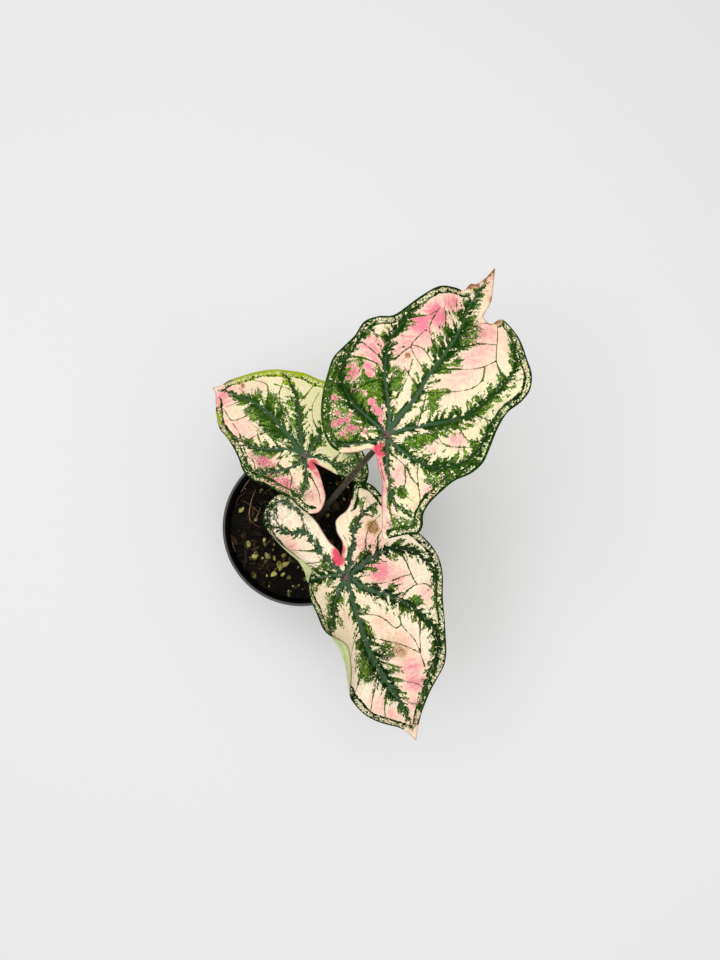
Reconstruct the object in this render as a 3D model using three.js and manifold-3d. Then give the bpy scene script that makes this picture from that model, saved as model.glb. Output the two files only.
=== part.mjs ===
// A young caladium in its black nursery pot: three heart-shaped leaves on bare petioles that rise from one
// buried tuber. Millimetres, +Z up. The origin is the middle of the pot's base, and +Y points to the back.
import * as THREE from "three";
import { mergeVertices } from "three/addons/utils/BufferGeometryUtils.js";
import Module from "manifold-3d";

const FIT_GAP = 0.3; // clearance between pieces that touch
const MERGE = 1e-4; // points closer than this are one point
const STRAIGHT = 1e-6; // a bend gentler than this, in radians per millimetre, is drawn straight

const POT = {
  height: 88,
  rimRadius: 50,
  bandHeight: 11, // the stiffening band below the rim
  bandStep: 1.3, // how far the band stands out from the wall
  bandDraft: 0.9, // how much the band widens up to the rim
  bandShoulder: 1, // height of the slope under the band
  baseRadius: 36,
  wall: 1.1,
  lip: 1.7, // width of the rim seen from above
  lipRound: 0.5,
  floor: 1.6,
  floorRound: 1.4, // inside corner between floor and wall
  footChamfer: 1.2,
  drainCount: 8,
  drainRadius: 4,
  drainCircle: 26,
  drainSides: 20,
  segments: 48,
};

const MIX = {
  level: 79, // height of the potting mix between its lumps
  looseDepth: 3, // the top layer that the lumps shape
  rings: 13,
  segments: 48,
  lumpSeed: 7,
  lumpCount: 150,
  lumpSpread: 47,
  lumpRadius: [2.6, 5.5],
  lumpHeight: [0.5, 2.1],
  crownHeight: 1.2, // the mix is drawn up a little round the petioles
  crownRadius: 20,
};

const TUBER = {
  middle: 53, // height of the widest place
  radius: 15,
  halfHeight: 9.5,
  knobs: 7,
  knobWaves: 3,
  knobHeight: 0.07, // as a share of the radius
  scarRings: 5, // ridges left by old leaves
  scarHeight: 0.025,
  segments: 24,
  rings: 12,
};

const BLADE = {
  thickness: 0.7,
  rings: [0.2, 0.42, 0.6, 0.74, 0.85, 0.93, 1], // shares of the way from the joint to the edge
  liftPower: 3, // how late the waved edge lifts off the blade
  rollStrip: 11, // width of the strip along the edge that can roll over
  rollShare: 0.6, // and the strip's most as a share of the way from the joint
  rollBeyond: [8, 18], // the edge rolls only where it is this far from the midrib
  slopeStep: 0.5, // half the distance over which the slopes are measured
  samples: 2, // edge points for each outline point
};

const PETIOLE = {
  foot: 3, // radius of the sheathing foot
  footLength: 26,
  shaft: 2.1,
  neck: 1.5,
  socket: 2, // it widens again where it meets the blade
  socketLength: 5,
  sides: 8,
  steps: 22,
};

// Each leaf is laid out flat first. u runs from the joint with the petiole along the midrib to the tip,
// v runs to the left of the midrib, and lift raises the waved edge off the blade, all in millimetres.
// heading and pitch aim the midrib. The stages [length, angle] bend the midrib, and the stages
// [length, angle at the back, angle at the front] bend the two halves of the blade.
const LEAVES = [
  {
    name: "tall_leaf",
    joint: [50.4, 43.7, 195],
    heading: 57,
    pitch: 9,
    tipBend: [[40, 2], [70, -24]],
    backBend: [[60, -18]],
    leftFold: [[15, 11, 13], [45, -8, -18]],
    rightFold: [[15, 10, 13], [45, -8, -16]],
    foldRange: [-20, 20],
    relaxRange: [60, 120],
    petiole: { foot: [3, -2], rise: 0.62, lean: 0.34 },
    right: [
      [-10.4, 0.3, 0], [-16, -5, 1], [-20.5, -10.2, 1], [-28.5, -15.2, 0], [-36, -20, -1],
      [-43.5, -25.6, -2], [-40.5, -29, -2], [-36, -33.5, -2], [-32.5, -38, -1], [-28.5, -37.9, 1],
      [-24.5, -35.4, 2.5], [-18.5, -34.9, 2], [-8.8, -37, -1], [-1.1, -39.7, -2.5],
      [5.5, -44.2, -1], [12.5, -46, 2], [21, -45, 2.5], [32, -43.8, 0], [43, -44.1, -2],
      [50.5, -46.7, -1], [56.5, -46.9, 2], [64, -43.9, 2.5], [72.5, -37.5, 0], [81.5, -29.5, -1.5],
      [86, -21.2, -1], [86.5, -16.4, 0], [84.5, -14.8, 0], [81, -13.6, 0.5], [79.5, -12, 1],
      [82, -7.4, 1], [88, -7, 0], [94, -6.6, 0], [105, -3.2, 0], [121, 2.1, 0],
    ],
    left: [
      [121, 2.1, 0], [107.5, 3.4, 0], [99.5, 5.3, 0.5], [96.5, 7.9, 1], [94, 8.3, 0.5],
      [90.5, 8.6, 0.5], [86.5, 13.5, 2], [80, 20.4, 3], [71.5, 24.8, 0], [61.5, 28.2, -2],
      [53, 31.1, -1], [47, 36.5, 2], [40.5, 40.3, 3], [33, 41, 0], [25.5, 43.1, -2],
      [18.5, 44, -1.5], [8.8, 41.1, 1], [-2.5, 36.9, 2.5], [-10.4, 32.4, 0.5], [-17.5, 24.9, -2],
      [-20, 19.2, -1.5], [-19, 13, 1], [-14.2, 7, 1.5], [-10.6, 3.5, 0.5], [-10.4, 0.3, 0],
    ],
  },
  {
    name: "back_leaf",
    joint: [5.7, 38.7, 142],
    heading: 143,
    pitch: 8,
    tipBend: [[35, -10], [50, -26]],
    backBend: [[45, -24]],
    leftFold: [[12, 8, 12], [35, 0, 2]],
    rightFold: [[12, 6, 12], [35, -4, 0]],
    foldRange: [-20, 20],
    relaxRange: [60, 120],
    petiole: { foot: [-3.5, 3.5], rise: 0.5, lean: 0.3 },
    right: [
      [-5, -0.4, 0], [-8.7, -1, 0], [-13, -1.8, 0], [-18, -2.7, 0], [-23, -3.6, 0], [-28, -4.6, -1],
      [-34.5, -6.3, -2], [-36.7, -8.6, -1.5], [-35, -13.5, 0], [-31, -18, 1], [-25.5, -21.5, 1.5],
      [-18.5, -25, 0], [-11, -30.5, -1.5], [-4, -37, -1], [3.5, -41.5, 1], [10.5, -42, 1.5],
      [19.5, -40, 0], [29, -38.5, -1.5], [37, -35, -1], [44.5, -30.5, 1], [52.5, -24, 2],
      [62, -16, 1], [69, -10, 0], [72.6, -4.8, 0], [76.7, -0.9, 0],
    ],
    left: [
      [76.7, -0.9, 0], [72, 1, 0], [65.5, 6, 1], [58, 12, 1.5], [51.5, 16.3, 0], [44.6, 17.7, -1.5],
      [37, 20, -1], [28.5, 23.5, 1], [20.5, 27.7, 2], [13.5, 28.3, 1.5], [7, 25.6, 0],
      [0, 24.6, -2], [-7, 23.2, -1], [-14.7, 24.3, 1.5], [-19.4, 24.2, 1.5], [-23, 22.8, 0.5],
      [-25.4, 19.5, 0], [-25, 15, 0], [-23, 10.5, 0], [-19.5, 7.5, 0], [-15, 4, 0], [-11, 1.4, 0],
      [-7.6, 0.2, 0], [-5, -0.4, 0],
    ],
  },
  {
    name: "front_leaf",
    joint: [28.6, -28.6, 138],
    heading: -66.5,
    pitch: 5,
    tipBend: [[50, -8], [60, -26]],
    backBend: [[70, -18]],
    leftFold: [[15, 16, 8], [45, 12, -6]],
    rightFold: [[13, 8, 48], [27, 16, 74]], // this half stands up beside the midrib
    foldRange: [-26, 14],
    relaxRange: [24, 66],
    // Two stretches of the right edge roll over towards the midrib: [u of the middle, half length, angle].
    edgeRolls: [[-18, 20, 190], [36, 26, 120]],
    // The inner edge of the left lobe swings in at its neck: [u, v, reach, shift of v].
    sway: [-17, 7, 9, 3.2],
    petiole: { foot: [-3.5, -6], rise: 0.5, lean: 0.3 },
    right: [
      [-10.8, 2.3, 0], [-14.2, 1.8, 0.5], [-18.4, 0.6, 1], [-22.5, -0.6, 1], [-26.6, -1.4, 0.5],
      [-31.3, -2, 0], [-36, -2.8, -1], [-40.5, -4.5, -1.5], [-46, -7.5, -1], [-51.3, -9.3, 0],
      [-54.8, -11.8, 1], [-57, -15, 1], [-57, -19.5, 0], [-55, -24, -1], [-51.5, -27.5, -1],
      [-46.5, -29.7, 0], [-40.7, -30.9, 1.5], [-35, -30.5, 2], [-30, -29, 1], [-22, -27.5, 0],
      [-14, -28, 0], [-6, -28, 0], [3, -27.5, 0], [12, -30, 0], [21, -33.5, 0], [30, -33, 0],
      [39, -29.5, 0], [48, -26.5, 0], [57, -25.5, 0], [65, -24.8, 0], [72, -23.5, 0], [79, -21, 0],
      [85, -17, 1], [91, -12, 1], [96.5, -7.5, 0], [102.3, -4, 0], [112.1, -0.9, 0],
    ],
    left: [
      [112.1, -0.9, 0], [104, 3, 0], [95, 8.2, 0], [86, 14.3, 1], [79, 20, 1], [74.2, 25.6, -1],
      [68.7, 31.4, -2], [60.6, 36, 0], [52.6, 39, 2], [44.6, 41.7, 1.5], [37.6, 44, -1],
      [31, 46.6, -2], [23.2, 49.8, 0], [15.7, 51.7, 2], [9.3, 52.3, 2], [3.2, 51.7, 0],
      [-2.6, 49.6, -2], [-9.2, 46.3, -2], [-16.5, 43, 0], [-24, 40.4, 1.5], [-30.2, 38.8, 1],
      [-35.2, 37.1, -0.5], [-39.4, 35.6, -1], [-42.8, 33, 0], [-44.9, 29.5, 1], [-44.7, 26, 1],
      [-40.4, 22.8, 0], [-36.1, 19.5, 0], [-33.5, 15.5, 0], [-32.5, 11, 0], [-30.7, 7.7, 0],
      [-27.5, 6.5, 0], [-23.5, 5.4, 0], [-19.5, 4.4, 0], [-15.5, 3.4, 0], [-12.5, 2.7, 0],
      [-10.8, 2.3, 0],
    ],
  },
];

const MATERIALS = {
  pot: { color: 0x17191a, roughness: 0.45, metalness: 0 },
  mix: { color: 0x2b2118, roughness: 0.95, metalness: 0 },
  tuber: { color: 0x5a3d26, roughness: 0.9, metalness: 0 },
  petiole: { color: 0x2f3a2a, roughness: 0.45, metalness: 0 },
  blade: { color: 0xecd9bb, roughness: 0.55, metalness: 0 },
};

const wasm = await Module();
wasm.setup();

const radians = THREE.MathUtils.degToRad;

function closed(geometry) {
  geometry.deleteAttribute("normal");
  geometry.deleteAttribute("uv");
  return mergeVertices(geometry, MERGE);
}

function solid(geometry) {
  const merged = closed(geometry);
  return new wasm.Manifold(
    new wasm.Mesh({
      numProp: 3,
      vertProperties: new Float32Array(merged.attributes.position.array),
      triVerts: new Uint32Array(merged.index.array),
    }),
  );
}

function geometryOf(made) {
  const mesh = made.getMesh();
  return new THREE.BufferGeometry()
    .setAttribute("position", new THREE.BufferAttribute(mesh.vertProperties, mesh.numProp))
    .setIndex(new THREE.BufferAttribute(mesh.triVerts, 1));
}

function indexed(places, faces) {
  return new THREE.BufferGeometry()
    .setAttribute("position", new THREE.Float32BufferAttribute(places.flatMap((p) => p.toArray()), 3))
    .setIndex(faces);
}

// ---------------------------------------------------------------- leaf blades

// 0 below the range, 1 above it, with a soft start and end.
function ramp([from, to], x) {
  return THREE.MathUtils.smoothstep(x, from, to);
}

// 1 at 0, falling to 0 at a distance of 1.
function bell(x) {
  return Math.abs(x) < 1 ? 0.5 + 0.5 * Math.cos(Math.PI * x) : 0;
}

// Follows a strip that bends through the stages [length, end angle], and stays straight after the last one.
function followBend(distance, stages) {
  let [along, up, angle, left] = [0, 0, 0, distance];
  for (const [length, degrees] of stages) {
    const turn = (radians(degrees) - angle) / length;
    const step = Math.min(left, length);
    const next = angle + turn * step;
    if (Math.abs(turn) < STRAIGHT) {
      along += step * Math.cos(angle);
      up += step * Math.sin(angle);
    } else {
      along += (Math.sin(next) - Math.sin(angle)) / turn;
      up += (Math.cos(angle) - Math.cos(next)) / turn;
    }
    angle = next;
    left -= step;
  }
  return { along: along + left * Math.cos(angle), up: up + left * Math.sin(angle), angle };
}

function leafAxes(leaf) {
  const heading = radians(leaf.heading);
  const pitch = radians(leaf.pitch);
  const ahead = new THREE.Vector3(Math.cos(heading), Math.sin(heading), 0)
    .multiplyScalar(Math.cos(pitch))
    .setZ(-Math.sin(pitch));
  const aside = new THREE.Vector3(-Math.sin(heading), Math.cos(heading), 0);
  return { ahead, aside, above: ahead.clone().cross(aside) };
}

// The place in space of the flat point (u, v), without the rolled and waved edge.
function bladePoint(leaf, u, v) {
  const { ahead, aside, above } = leafAxes(leaf);
  if (leaf.sway) {
    const [middleU, middleV, reach, shift] = leaf.sway;
    v += shift * bell(Math.hypot(u - middleU, v - middleV) / reach);
  }
  const end = u < 0 ? -1 : 1;
  const side = v < 0 ? -1 : 1;
  const rib = followBend(Math.abs(u), end > 0 ? leaf.tipBend : leaf.backBend);
  const upright = above
    .clone()
    .multiplyScalar(Math.cos(rib.angle))
    .addScaledVector(ahead, -end * Math.sin(rib.angle));
  const folded = ramp(leaf.foldRange, u) * (1 - ramp(leaf.relaxRange, u));
  const stages = (side > 0 ? leaf.leftFold : leaf.rightFold).map(([length, atBack, atFront]) => [
    length,
    THREE.MathUtils.lerp(atBack, atFront, folded),
  ]);
  const half = followBend(Math.abs(v), stages);
  return new THREE.Vector3(...leaf.joint)
    .addScaledVector(ahead, end * rib.along)
    .addScaledVector(above, rib.up)
    .addScaledVector(aside, side * half.along)
    .addScaledVector(upright, half.up);
}

// How far the right edge rolls over at (u, v).
function rollAngle(leaf, u, v) {
  if (!leaf.edgeRolls) return 0;
  const angles = leaf.edgeRolls.map(([middle, half, angle]) => radians(angle) * bell((u - middle) / half));
  return ramp(BLADE.rollBeyond, -v) * angles.reduce((sum, angle) => sum + angle, 0);
}

// The place and the normal at a share of the way from the joint to a point of the edge.
function bladePlace(leaf, edge, share) {
  const step = BLADE.slopeStep;
  const reach = Math.hypot(edge.x, edge.y);
  const out = new THREE.Vector2(edge.x / reach, edge.y / reach);
  const [u, v] = [edge.x * share, edge.y * share];
  const slope = (du, dv) => {
    const before = bladePoint(leaf, u - du * step, v - dv * step);
    return bladePoint(leaf, u + du * step, v + dv * step).sub(before).normalize();
  };
  const outward = slope(out.x, out.y);
  const normal = outward.clone().cross(slope(-out.y, out.x)).normalize();
  const place = bladePoint(leaf, u, v).addScaledVector(normal, edge.z * share ** BLADE.liftPower);
  const strip = Math.min(BLADE.rollStrip, BLADE.rollShare * reach);
  const past = strip - (1 - share) * reach;
  const roll = rollAngle(leaf, edge.x, edge.y);
  if (past > 0 && roll > 0) {
    const radius = strip / roll;
    const turned = past / radius;
    place.addScaledVector(outward, radius * Math.sin(turned) - past);
    place.addScaledVector(normal, radius * (1 - Math.cos(turned)));
    normal.multiplyScalar(Math.cos(turned)).addScaledVector(outward, -Math.sin(turned));
  }
  return { place, normal };
}

function edgeOf(leaf) {
  return [leaf.right, leaf.left].flatMap((stroke) => {
    const places = stroke.map((place) => new THREE.Vector3(...place));
    const curve = new THREE.CatmullRomCurve3(places, false, "centripetal");
    const count = (stroke.length - 1) * BLADE.samples;
    return Array.from({ length: count }, (_, i) => curve.getPoint(i / count));
  });
}

// One thin closed shell: the upper and the under face have the same rings of points and the same triangles.
function bladeGeometry(leaf) {
  const edge = edgeOf(leaf);
  const rings = BLADE.rings.length;
  const spots = edge.flatMap((point) => BLADE.rings.map((share) => bladePlace(leaf, point, share)));
  const middle = bladePlace(leaf, new THREE.Vector3(1, 0, 0), 0);
  const half = BLADE.thickness / 2;
  const face = (offset) =>
    [middle, ...spots].map(({ place, normal }) => place.clone().addScaledVector(normal, offset));
  const under = 1 + spots.length; // number of the under face's first point
  const at = (i, j) => 1 + (i % edge.length) * rings + j;
  const faces = [];
  const pair = (a, b, c) => faces.push(a, b, c, under + a, under + c, under + b);
  edge.forEach((_, i) => {
    pair(0, at(i, 0), at(i + 1, 0));
    for (let j = 0; j < rings - 1; j += 1) {
      pair(at(i, j), at(i, j + 1), at(i + 1, j + 1));
      pair(at(i, j), at(i + 1, j + 1), at(i + 1, j));
    }
    const [a, b] = [at(i, rings - 1), at(i + 1, rings - 1)];
    faces.push(a, under + a, b, b, under + a, under + b);
  });
  return indexed([...face(half), ...face(-half)], faces);
}

// ---------------------------------------------------------------- petioles

// A petiole leaves the tuber almost upright and arches over to the underside of its blade.
function petioleCurve(leaf, footHeight) {
  const { above } = leafAxes(leaf);
  const top = new THREE.Vector3(...leaf.joint).addScaledVector(above, -(BLADE.thickness / 2 + FIT_GAP));
  const foot = new THREE.Vector3(...leaf.petiole.foot, footHeight);
  const { rise, lean } = leaf.petiole;
  const shoulder = foot.clone().lerp(top, lean).setZ(THREE.MathUtils.lerp(foot.z, top.z, rise));
  return { curve: new THREE.QuadraticBezierCurve3(foot, shoulder, top), top, above };
}

function petioleRadius(fromFoot, fromTop) {
  const { foot, footLength, shaft, neck, socket, socketLength } = PETIOLE;
  const plain = THREE.MathUtils.lerp(shaft, neck, fromFoot / (fromFoot + fromTop));
  const sheath = (foot - shaft) * (1 - ramp([0, footLength], fromFoot));
  const flare = (socket - neck) * (1 - ramp([0, socketLength], fromTop)) ** 2;
  return plain + sheath + flare;
}

// A round sweep along the petiole, larger all round by grow. Its upper end lies along the blade.
function petioleGeometry(leaf, footHeight, grow = 0) {
  const { curve, top, above } = petioleCurve(leaf, footHeight);
  const { sides, steps } = PETIOLE;
  const length = curve.getLength();
  const frames = curve.computeFrenetFrames(steps, false);
  const places = [];
  for (let i = 0; i <= steps; i += 1) {
    const centre = curve.getPointAt(i / steps);
    const radius = petioleRadius((i / steps) * length, (1 - i / steps) * length) + grow;
    for (let k = 0; k < sides; k += 1) {
      const turn = (2 * Math.PI * k) / sides;
      const place = centre
        .clone()
        .addScaledVector(frames.normals[i], radius * Math.cos(turn))
        .addScaledVector(frames.binormals[i], radius * Math.sin(turn));
      const past = i < steps ? 0 : place.clone().sub(top).dot(above) / frames.tangents[i].dot(above);
      places.push(place.addScaledVector(frames.tangents[i], -past));
    }
  }
  const foot = places.push(curve.getPointAt(0)) - 1;
  const head = places.push(top.clone()) - 1;
  const faces = [];
  for (let k = 0; k < sides; k += 1) {
    const next = (k + 1) % sides;
    faces.push(foot, next, k, head, steps * sides + k, steps * sides + next);
    for (let i = 0; i < steps; i += 1) {
      const [a, b] = [i * sides + k, i * sides + next];
      faces.push(a, b, b + sides, a, b + sides, a + sides);
    }
  }
  return indexed(places, faces);
}

// ---------------------------------------------------------------- pot, mix and tuber

// Outside radius of the tapered wall at a height.
function wallRadius(height) {
  const bandFoot = POT.height - POT.bandHeight;
  const topRadius = POT.rimRadius - POT.bandDraft - POT.bandStep;
  return THREE.MathUtils.mapLinear(height, 0, bandFoot, POT.baseRadius, topRadius);
}

function potGeometry() {
  const { height, rimRadius, bandStep, bandShoulder, baseRadius, wall, lip, lipRound } = POT;
  const { floor, floorRound, footChamfer } = POT;
  const bandFoot = height - POT.bandHeight;
  const bandRadius = wallRadius(bandFoot) + bandStep;
  const profile = [
    [0, 0],
    [baseRadius - footChamfer, 0],
    [wallRadius(footChamfer), footChamfer],
    [wallRadius(bandFoot), bandFoot],
    [bandRadius, bandFoot + bandShoulder],
    [rimRadius, height - lipRound],
    [rimRadius - lipRound, height],
    [rimRadius - lip + lipRound, height],
    [rimRadius - lip, height - lipRound],
    [bandRadius - wall, bandFoot + bandShoulder],
    [wallRadius(bandFoot) - wall, bandFoot - bandShoulder],
    [wallRadius(floor + floorRound) - wall, floor + floorRound],
    [baseRadius - wall - floorRound, floor],
    [0, floor],
  ].map(([r, z]) => new THREE.Vector2(r, z));
  const shell = new THREE.LatheGeometry(profile, POT.segments);
  shell.rotateX(Math.PI / 2);
  let pot = solid(shell);
  for (let i = 0; i < POT.drainCount; i += 1) {
    const turn = (2 * Math.PI * (i + 0.5)) / POT.drainCount;
    const drain = new THREE.CylinderGeometry(POT.drainRadius, POT.drainRadius, height, POT.drainSides)
      .rotateX(Math.PI / 2)
      .translate(POT.drainCircle * Math.cos(turn), POT.drainCircle * Math.sin(turn), 0);
    pot = pot.subtract(solid(drain));
  }
  return geometryOf(pot);
}

// A small seeded generator, so that the lumps always fall in the same places.
function seeded(seed) {
  const [factor, shift, range] = [1664525, 1013904223, 2 ** 32];
  let state = seed;
  return (low, high) => {
    state = (state * factor + shift) % range;
    return low + ((high - low) * state) / range;
  };
}

function mixLumps() {
  const draw = seeded(MIX.lumpSeed);
  return Array.from({ length: MIX.lumpCount }, () => {
    const turn = draw(0, 2 * Math.PI);
    const distance = MIX.lumpSpread * Math.sqrt(draw(0, 1));
    return {
      x: distance * Math.cos(turn),
      y: distance * Math.sin(turn),
      radius: draw(...MIX.lumpRadius),
      height: draw(...MIX.lumpHeight),
    };
  });
}

function mixHeight(lumps, x, y) {
  const heights = lumps.map((lump) => {
    const away = Math.hypot(x - lump.x, y - lump.y);
    return lump.height * bell(away / lump.radius);
  });
  const crown = MIX.crownHeight * bell(Math.hypot(x, y) / MIX.crownRadius);
  return MIX.level + Math.max(...heights) + crown;
}

function mixGeometry(feet) {
  const lumps = mixLumps();
  const bottom = POT.floor + FIT_GAP;
  const side = MIX.level - MIX.looseDepth;
  const edgeRadius = wallRadius(side) - POT.wall - FIT_GAP;
  const profile = [
    [0, bottom],
    [POT.baseRadius - POT.wall - POT.floorRound - FIT_GAP, bottom],
    [wallRadius(bottom + POT.floorRound) - POT.wall - FIT_GAP, bottom + POT.floorRound],
    [edgeRadius, side],
  ];
  for (let i = MIX.rings; i >= 0; i -= 1) profile.push([(edgeRadius * i) / MIX.rings, MIX.level]);
  const body = new THREE.LatheGeometry(
    profile.map(([r, z]) => new THREE.Vector2(r, z)),
    MIX.segments,
  );
  body.rotateX(Math.PI / 2);
  const places = body.attributes.position;
  for (let i = 0; i < places.count; i += 1) {
    const loose = places.getZ(i) > MIX.level - MIX.looseDepth / 2;
    if (loose) places.setZ(i, mixHeight(lumps, places.getX(i), places.getY(i)));
  }
  const pocket = solid(tuberGeometry(FIT_GAP));
  const holes = LEAVES.map((leaf) => solid(petioleGeometry(leaf, feet, FIT_GAP)));
  return geometryOf([pocket, ...holes].reduce((left, cut) => left.subtract(cut), solid(body)));
}

// A squat knobbly tuber with ring-shaped leaf scars, larger all round by grow.
function tuberGeometry(grow = 0) {
  const geometry = new THREE.SphereGeometry(1, TUBER.segments, TUBER.rings).rotateX(Math.PI / 2);
  const places = geometry.attributes.position;
  const place = new THREE.Vector3();
  for (let i = 0; i < places.count; i += 1) {
    place.fromBufferAttribute(places, i);
    const round = Math.hypot(place.x, place.y);
    const turn = Math.atan2(place.y, place.x);
    const around = Math.cos(TUBER.knobs * turn) * Math.sin(TUBER.knobWaves * place.z);
    const knobs = TUBER.knobHeight * around * round;
    const scars = TUBER.scarHeight * Math.cos(2 * Math.PI * TUBER.scarRings * place.z) * round;
    place.multiplyScalar(1 + knobs + scars);
    place.set(
      place.x * (TUBER.radius + grow),
      place.y * (TUBER.radius + grow),
      TUBER.middle + place.z * (TUBER.halfHeight + grow),
    );
    places.setXYZ(i, ...place.toArray());
  }
  return geometry;
}

// ---------------------------------------------------------------- assembly

function piece(name, geometry, finish) {
  const mesh = new THREE.Mesh(geometry, new THREE.MeshStandardMaterial(MATERIALS[finish]));
  mesh.name = name;
  return mesh;
}

const feet = TUBER.middle + TUBER.halfHeight + 2 * FIT_GAP;
const plant = new THREE.Group();
plant.add(piece("pot", potGeometry(), "pot"));
plant.add(piece("potting_mix", mixGeometry(feet), "mix"));
plant.add(piece("tuber", closed(tuberGeometry()), "tuber"));
for (const leaf of LEAVES) {
  plant.add(piece(`${leaf.name}_petiole`, petioleGeometry(leaf, feet), "petiole"));
  plant.add(piece(`${leaf.name}_blade`, bladeGeometry(leaf), "blade"));
}

export default plant;
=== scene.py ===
"""A young variegated caladium in its black nursery pot, dressed on its CAD frame.

The scene is in metres, +Z up, with the middle of the pot's base at the origin. The tables, and the
lengths that the shaping functions work with, are in millimetres.
"""

import math
import random
from functools import partial
from types import SimpleNamespace

import bmesh
import bpy
import numpy as np
from bpy.props import FloatProperty, FloatVectorProperty, IntProperty, PointerProperty
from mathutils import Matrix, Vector, geometry, noise


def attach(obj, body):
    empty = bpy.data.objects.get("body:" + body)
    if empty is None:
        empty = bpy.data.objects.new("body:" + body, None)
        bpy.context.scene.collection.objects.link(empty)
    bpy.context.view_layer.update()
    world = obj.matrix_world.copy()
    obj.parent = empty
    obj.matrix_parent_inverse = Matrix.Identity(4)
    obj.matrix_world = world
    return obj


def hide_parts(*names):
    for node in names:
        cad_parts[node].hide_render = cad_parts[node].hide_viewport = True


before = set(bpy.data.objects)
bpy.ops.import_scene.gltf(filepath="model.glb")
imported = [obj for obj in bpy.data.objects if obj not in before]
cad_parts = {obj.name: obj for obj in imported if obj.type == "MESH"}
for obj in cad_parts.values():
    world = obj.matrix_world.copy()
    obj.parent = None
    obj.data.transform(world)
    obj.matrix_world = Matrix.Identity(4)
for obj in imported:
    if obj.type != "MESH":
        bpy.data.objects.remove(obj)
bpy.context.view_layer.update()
MM = 0.001

bl_info = {
    "name": "Potted Caladium",
    "version": (1, 0, 0),
    "blender": (4, 5, 0),
    "location": "3D View > Sidebar > Caladium",
    "description": "Leaves, stems, potting mix and pot of a young variegated caladium",
    "category": "Add Mesh",
}

# ---------------------------------------------------------------- the tables of the leaves

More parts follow.
